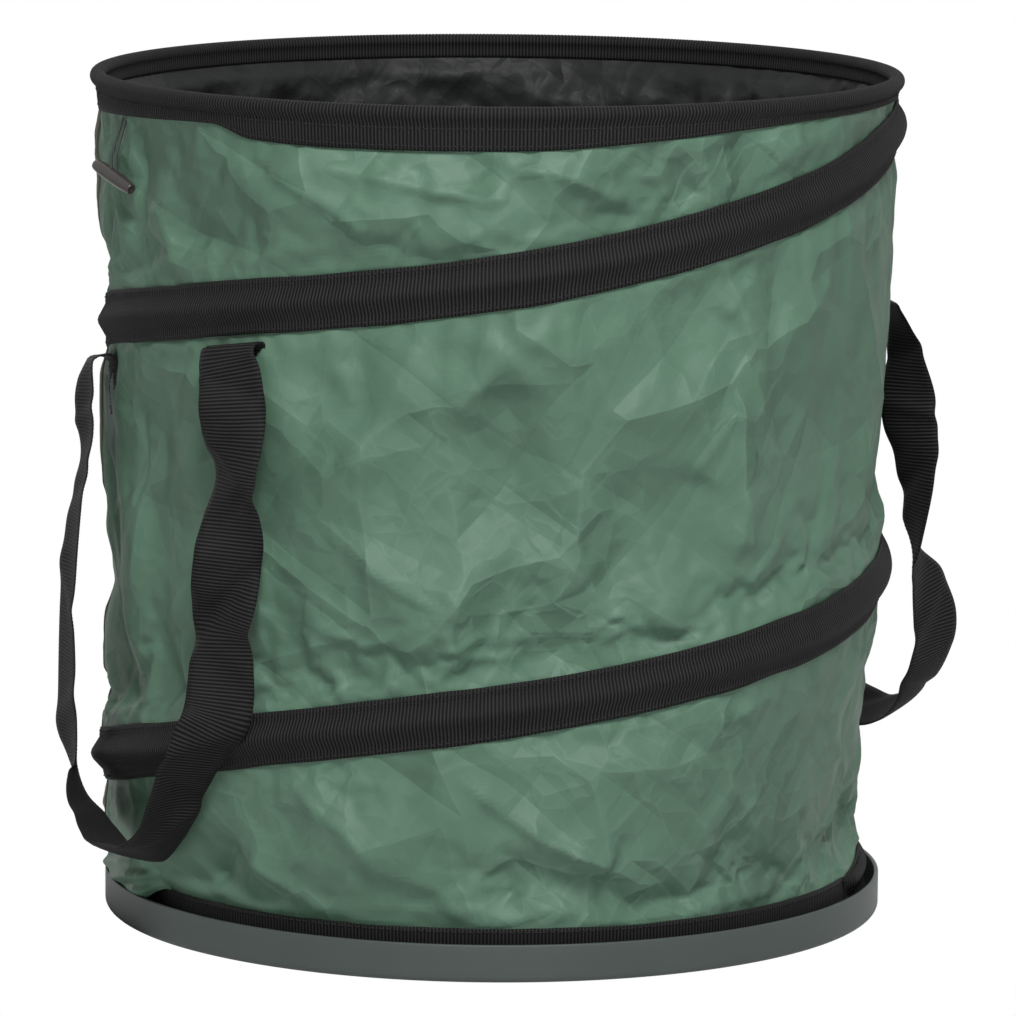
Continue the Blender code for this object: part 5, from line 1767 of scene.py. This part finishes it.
def make_toggle(side, azimuth):
    """Elastic loop from under the rim flange, and the barrel that it holds."""
    top = float(flange_foot(np.array(azimuth))) - ELASTIC_TUCK
    hang = float(wall_radius(azimuth, top)) + LAYER_GAP + TAPE / 2
    bottom = top - ELASTIC_DROP
    turned_out = TOGGLE_LENGTH / 2 * math.sin(math.radians(TOGGLE_TURN))
    out = float(wall_radius(azimuth, bottom)) + LAYER_GAP + TOGGLE_DIAMETER / 2 + turned_out
    sideways = place(azimuth + FULL_TURN / 4, 1.0, 0.0)
    lengthways = place(azimuth + FULL_TURN / 4 - TOGGLE_TURN, 1.0, 0.0)
    half = ELASTIC_SPREAD / 2
    straight = bottom + half + ELASTIC_STRAIGHT
    points = [place(azimuth, hang, top + ELASTIC_ABOVE_PIVOT) - sideways * half]
    points.append(place(azimuth, out, straight) - lengthways * half)
    for angle in np.linspace(0, math.pi, ELASTIC_BEND_POINTS):
        centre = place(azimuth, out, bottom + half - half * math.sin(angle))
        points.append(centre - lengthways * half * math.cos(angle))
    points.append(place(azimuth, out, straight) + lengthways * half)
    points.append(place(azimuth, hang, top + ELASTIC_ABOVE_PIVOT) + sideways * half)
    points = np.array(points)
    curve = bpy.data.curves.new(f"toggle_cord_{side}", "CURVE")
    curve.dimensions = "3D"
    curve.bevel_depth = ELASTIC_DIAMETER / 2
    curve.bevel_resolution = ELASTIC_ROUNDNESS
    line = curve.splines.new("POLY")
    line.points.add(len(points) - 1)
    line.points.foreach_set("co", np.append(points, np.ones((len(points), 1)), axis=1).ravel())
    replaced = (f"toggle_elastic_{side}",)
    cord = piece(curve.name, curve, elastic_finish, f"toggle_{side}", replaced)
    barrel = make_barrel(side, azimuth, out, bottom)


BARREL_STEPS = 41
BARREL_SIDES = 40
BARREL_HOLLOW = 0.0006
BARREL_HOLE = 0.0002
# Radii of the rings that close an end, as shares of the end's own
BARREL_CAP_SHARES = (0.45, 0.7)


def make_barrel(side, azimuth, radius, height):
    """Moulded barrel that tapers to both ends, which are a little hollow."""
    share = np.sin(np.linspace(-math.pi / 2, math.pi / 2, BARREL_STEPS))
    end = TOGGLE_END_DIAMETER / 2
    swell = end + (TOGGLE_DIAMETER / 2 - end) * np.sqrt(np.maximum(0, 1 - share**2))
    x = share * TOGGLE_LENGTH / 2
    cap = np.array([BARREL_HOLE, *(end * part for part in BARREL_CAP_SHARES)])
    set_in = np.array([BARREL_HOLLOW, BARREL_HOLLOW, 0.0])
    x = np.concatenate([x[0] + set_in, x, x[-1] - set_in[::-1]])
    swell = np.concatenate([cap, swell, cap[::-1]])
    around = np.linspace(0, math.tau, BARREL_SIDES, endpoint=False)
    rings = (x[:, None] + 0 * around, swell[:, None] * np.cos(around), swell[:, None] * np.sin(around))
    mesh = grid_mesh(f"toggle_barrel_{side}", np.stack(rings, axis=-1), closed_across=True, flip=True)
    turn = -math.radians(azimuth + FULL_TURN / 4 - TOGGLE_TURN)
    matrix = Matrix.Translation(place(azimuth, radius, height)) @ Matrix.Rotation(turn, 4, "Z")
    mesh.transform(matrix @ Matrix.Rotation(math.radians(TOGGLE_TILT), 4, "Y"))
    return piece(mesh.name, mesh, toggle_finish, f"toggle_{side}", (f"toggle_{side}",))


# Catch loops at the foot

CATCH_WIDTH = 0.010
CATCH_HEIGHT = 0.016
CATCH_THICKNESS = 0.0010
CATCH_DEPTH = 0.0028
CATCH_COLUMNS = 7
CATCH_RIBS = 15
# Way down the loop and way out from the wall
CATCH_SHARES = ((0.0, 0.0), (0.45, 0.0), (0.9, 0.05), (1.0, 0.45), (0.9, 0.9), (0.45, 1.0), (0.1, 0.95))


def make_catch(side, azimuth):
    """Small webbing loop that the toggle of the folded bag goes through."""
    low = TRAY_HEIGHT + TAPE
    for turn in (azimuth / FULL_TURN + 1, azimuth / FULL_TURN):
        middle = float(coil_height(turn))
        if middle - CASING_WIDTH / 2 < low + CATCH_HEIGHT:
            low = middle + CASING_WIDTH / 2 + LAYER_GAP
    share = np.linspace(-1, 1, CATCH_COLUMNS)
    at = azimuth + share * math.degrees(CATCH_WIDTH / 2 / BASE_WALL_RADIUS)
    outline = np.array(CATCH_SHARES)
    steps = np.linspace(0, len(outline) - 1, CATCH_RIBS * STATIONS_PER_RIB + 1)
    down = np.interp(steps, np.arange(len(outline)), outline[:, 0])
    out = np.interp(steps, np.arange(len(outline)), outline[:, 1])
    height = low + CATCH_HEIGHT * down
    face = np.maximum(wall_radius(at, low)[None], wall_radius(at[None], height[:, None]))
    radius = face + LAYER_GAP + TAPE + LAYER_GAP + CATCH_DEPTH * out[:, None]
    inner = place(at[None] + 0 * radius, radius, height[:, None])
    name = f"catch_strap_{side}"
    mesh, _, outward = tape(name, inner, False, CATCH_THICKNESS)
    if outward[2, CATCH_COLUMNS // 2] @ place(azimuth, 1.0, 0.0) < 0:
        mesh, _, _ = tape(name, inner[:, ::-1], False, CATCH_THICKNESS)
    piece(name, mesh, black_webbing, "base", (f"catch_loop_{side}",))


# Tray

TRAY_WALL = 0.0025
TRAY_FLOOR = 0.0025
TRAY_CORNER = 0.0035
TRAY_LIP = 0.0008
TRAY_SIDES = 320
TRAY_CENTRE = 0.0004
CORNER_STEPS = 9
LIP_STEPS = 5


def make_tray():
    """Shallow moulded dish with a rounded foot and a soft lip."""
    inside = TRAY_RADIUS - TRAY_WALL
    centre = TRAY_RADIUS - TRAY_CORNER
    inner_corner = TRAY_CORNER - TRAY_WALL
    corner = [(math.sin(angle), 1 - math.cos(angle)) for angle in arc(0, 90, CORNER_STEPS)]
    quarter = [(1 - math.sin(angle), 1 - math.cos(angle)) for angle in arc(0, 90, LIP_STEPS)]
    profile = [(TRAY_CENTRE, 0.0), (centre * 0.5, 0.0), (centre * 0.9, 0.0)]
    for out, up in corner:
        profile.append((centre + TRAY_CORNER * out, TRAY_CORNER * up))
    for share in (0.25, 0.5, 0.75, 1.0):
        profile.append((TRAY_RADIUS, TRAY_CORNER + (TRAY_HEIGHT - TRAY_LIP - TRAY_CORNER) * share))
    for down, back in quarter[1:]:
        profile.append((TRAY_RADIUS - TRAY_LIP * back, TRAY_HEIGHT - TRAY_LIP * down))
    for out, down in quarter:
        profile.append((inside + TRAY_LIP * out, TRAY_HEIGHT - TRAY_LIP * down))
    profile.append((inside, TRAY_HEIGHT / 2))
    for up, back in quarter:
        profile.append((inside - inner_corner * back, TRAY_FLOOR + inner_corner * up))
    profile += [(inside * 0.5, TRAY_FLOOR), (TRAY_CENTRE, TRAY_FLOOR)]
    profile = np.array(profile)
    azimuth = np.arange(TRAY_SIDES) * FULL_TURN / TRAY_SIDES
    points = place(azimuth[:, None], profile[None, :, 0], profile[None, :, 1])
    mesh = grid_mesh("tray_shell", points, closed=True, flip=True)
    piece("tray_shell", mesh, tray_finish, "base", ("base_tray",))


# Camera, light and floor

CAMERA_REACH = 50.0


def make_camera():
    """Camera of the photograph, from its fitted place, pitch and roll."""
    data = bpy.data.cameras.new("camera")
    data.lens = LENS
    data.sensor_width = SENSOR
    data.clip_end = CAMERA_REACH
    camera = bpy.data.objects.new("camera", data)
    pitch = Matrix.Rotation(math.radians(90.0 - CAMERA_PITCH), 4, "X")
    roll = Matrix.Rotation(math.radians(CAMERA_ROLL), 4, "Z")
    camera.matrix_world = Matrix.Translation(CAMERA_AT) @ pitch @ roll
    bpy.context.scene.collection.objects.link(camera)
    bpy.context.scene.camera = camera


WORLD_LIGHT = 0.09
WHITE = (1.0, 1.0, 1.0, 1.0)
MIDDLE = (0.0, 0.0, 0.24)
# Name, place, size in metres, power in watts, and whether shiny pieces mirror it
LIGHTS = (
    ("key", (0.25, -2.1, 2.5), 1.0, 104.0, True),
    ("fill", (-0.3, -3.6, 0.7), 1.2, 7.0, True),
    ("back", (0.0, 2.8, 2.0), 1.2, 44.0, False),
)


def area_light(name, place_at, size, power, shine):
    """Square light that faces the middle of the bag."""
    data = bpy.data.lights.new(name, "AREA")
    data.size = size
    data.energy = power
    light = bpy.data.objects.new(name, data)
    backwards = -unit(np.array(MIDDLE) - np.array(place_at))
    right = unit(np.cross(UP, backwards))
    turn = Matrix.Identity(3)
    turn.col[0] = right
    turn.col[1] = np.cross(backwards, right)
    turn.col[2] = backwards
    light.matrix_world = Matrix.Translation(place_at) @ turn.to_4x4()
    light.visible_glossy = shine
    bpy.context.scene.collection.objects.link(light)


def make_world():
    """White behind the bag for the camera and for reflections, softer light from all round."""
    world = bpy.data.worlds.new("studio")
    world.use_nodes = True
    tree = world.node_tree
    background = tree.nodes["Background"]
    paths = tree.nodes.new("ShaderNodeLightPath")
    shiny = calc(tree, "MAXIMUM", paths.outputs["Is Glossy Ray"], paths.outputs["Is Transmission Ray"])
    seen = calc(tree, "MAXIMUM", paths.outputs["Is Camera Ray"], shiny)
    background.inputs["Color"].default_value = WHITE
    strength = calc(tree, "MULTIPLY_ADD", seen, 1.0 - WORLD_LIGHT, WORLD_LIGHT)
    tree.links.new(strength, background.inputs["Strength"])
    bpy.context.scene.world = world
    bpy.context.scene.view_settings.view_transform = "Standard"


GROUND_SIZE = 6.0
GROUND_DROP = 0.0005
GROUND_COLOUR = (0.92, 0.92, 0.92, 1.0)
GROUND_ROUGHNESS = 0.9


def make_floor_plane():
    """White ground that the bag stands on."""
    shape = bmesh.new()
    bmesh.ops.create_grid(shape, x_segments=1, y_segments=1, size=GROUND_SIZE)
    mesh = bpy.data.meshes.new("ground")
    shape.to_mesh(mesh)
    shape.free()
    mesh.transform(Matrix.Translation((0, 0, -GROUND_DROP)))
    ground = bpy.data.objects.new("ground", mesh)
    material = bpy.data.materials.new("ground")
    material.use_nodes = True
    shader = material.node_tree.nodes["Principled BSDF"]
    shader.inputs["Base Color"].default_value = GROUND_COLOUR
    shader.inputs["Roughness"].default_value = GROUND_ROUGHNESS
    mesh.materials.append(material)
    bpy.context.scene.collection.objects.link(ground)
    ground.visible_camera = False


SPRING_NODES = ("rim_wire", "base_wire")
SLEEVE_NODES = ("rim_wire_sleeve", "base_wire_sleeve")


def dress_solids():
    """Steel on the wires and sleeves whose solids stay."""
    for names, material in ((SPRING_NODES, steel), (SLEEVE_NODES, crimp_steel)):
        for name in names:
            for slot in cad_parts[name].material_slots:
                slot.material = material


def main():
    """Makes every piece, then the camera, the lights and the ground."""
    wall, outer = make_outer_wall()
    lining = make_lining_wall(outer)
    make_side_seam(outer)
    make_foot_fold()
    make_floor()
    make_rim_tape()
    make_base_tape()
    make_coil_tape()
    make_coil_wire()
    for handle in (LEFT, RIGHT):
        make_strap(handle)
        make_tab(handle, "front", handle.centre - HANDLE_SPREAD)
        make_tab(handle, "back", handle.centre + HANDLE_SPREAD)
    make_toggle("left", LEFT_TOGGLE)
    make_toggle("right", RIGHT_TOGGLE)
    make_catch("left", LEFT_TOGGLE)
    make_catch("right", RIGHT_TOGGLE)
    make_tray()
    dress_solids()
    make_camera()
    for light in LIGHTS:
        area_light(*light)
    make_world()
    make_floor_plane()


main()
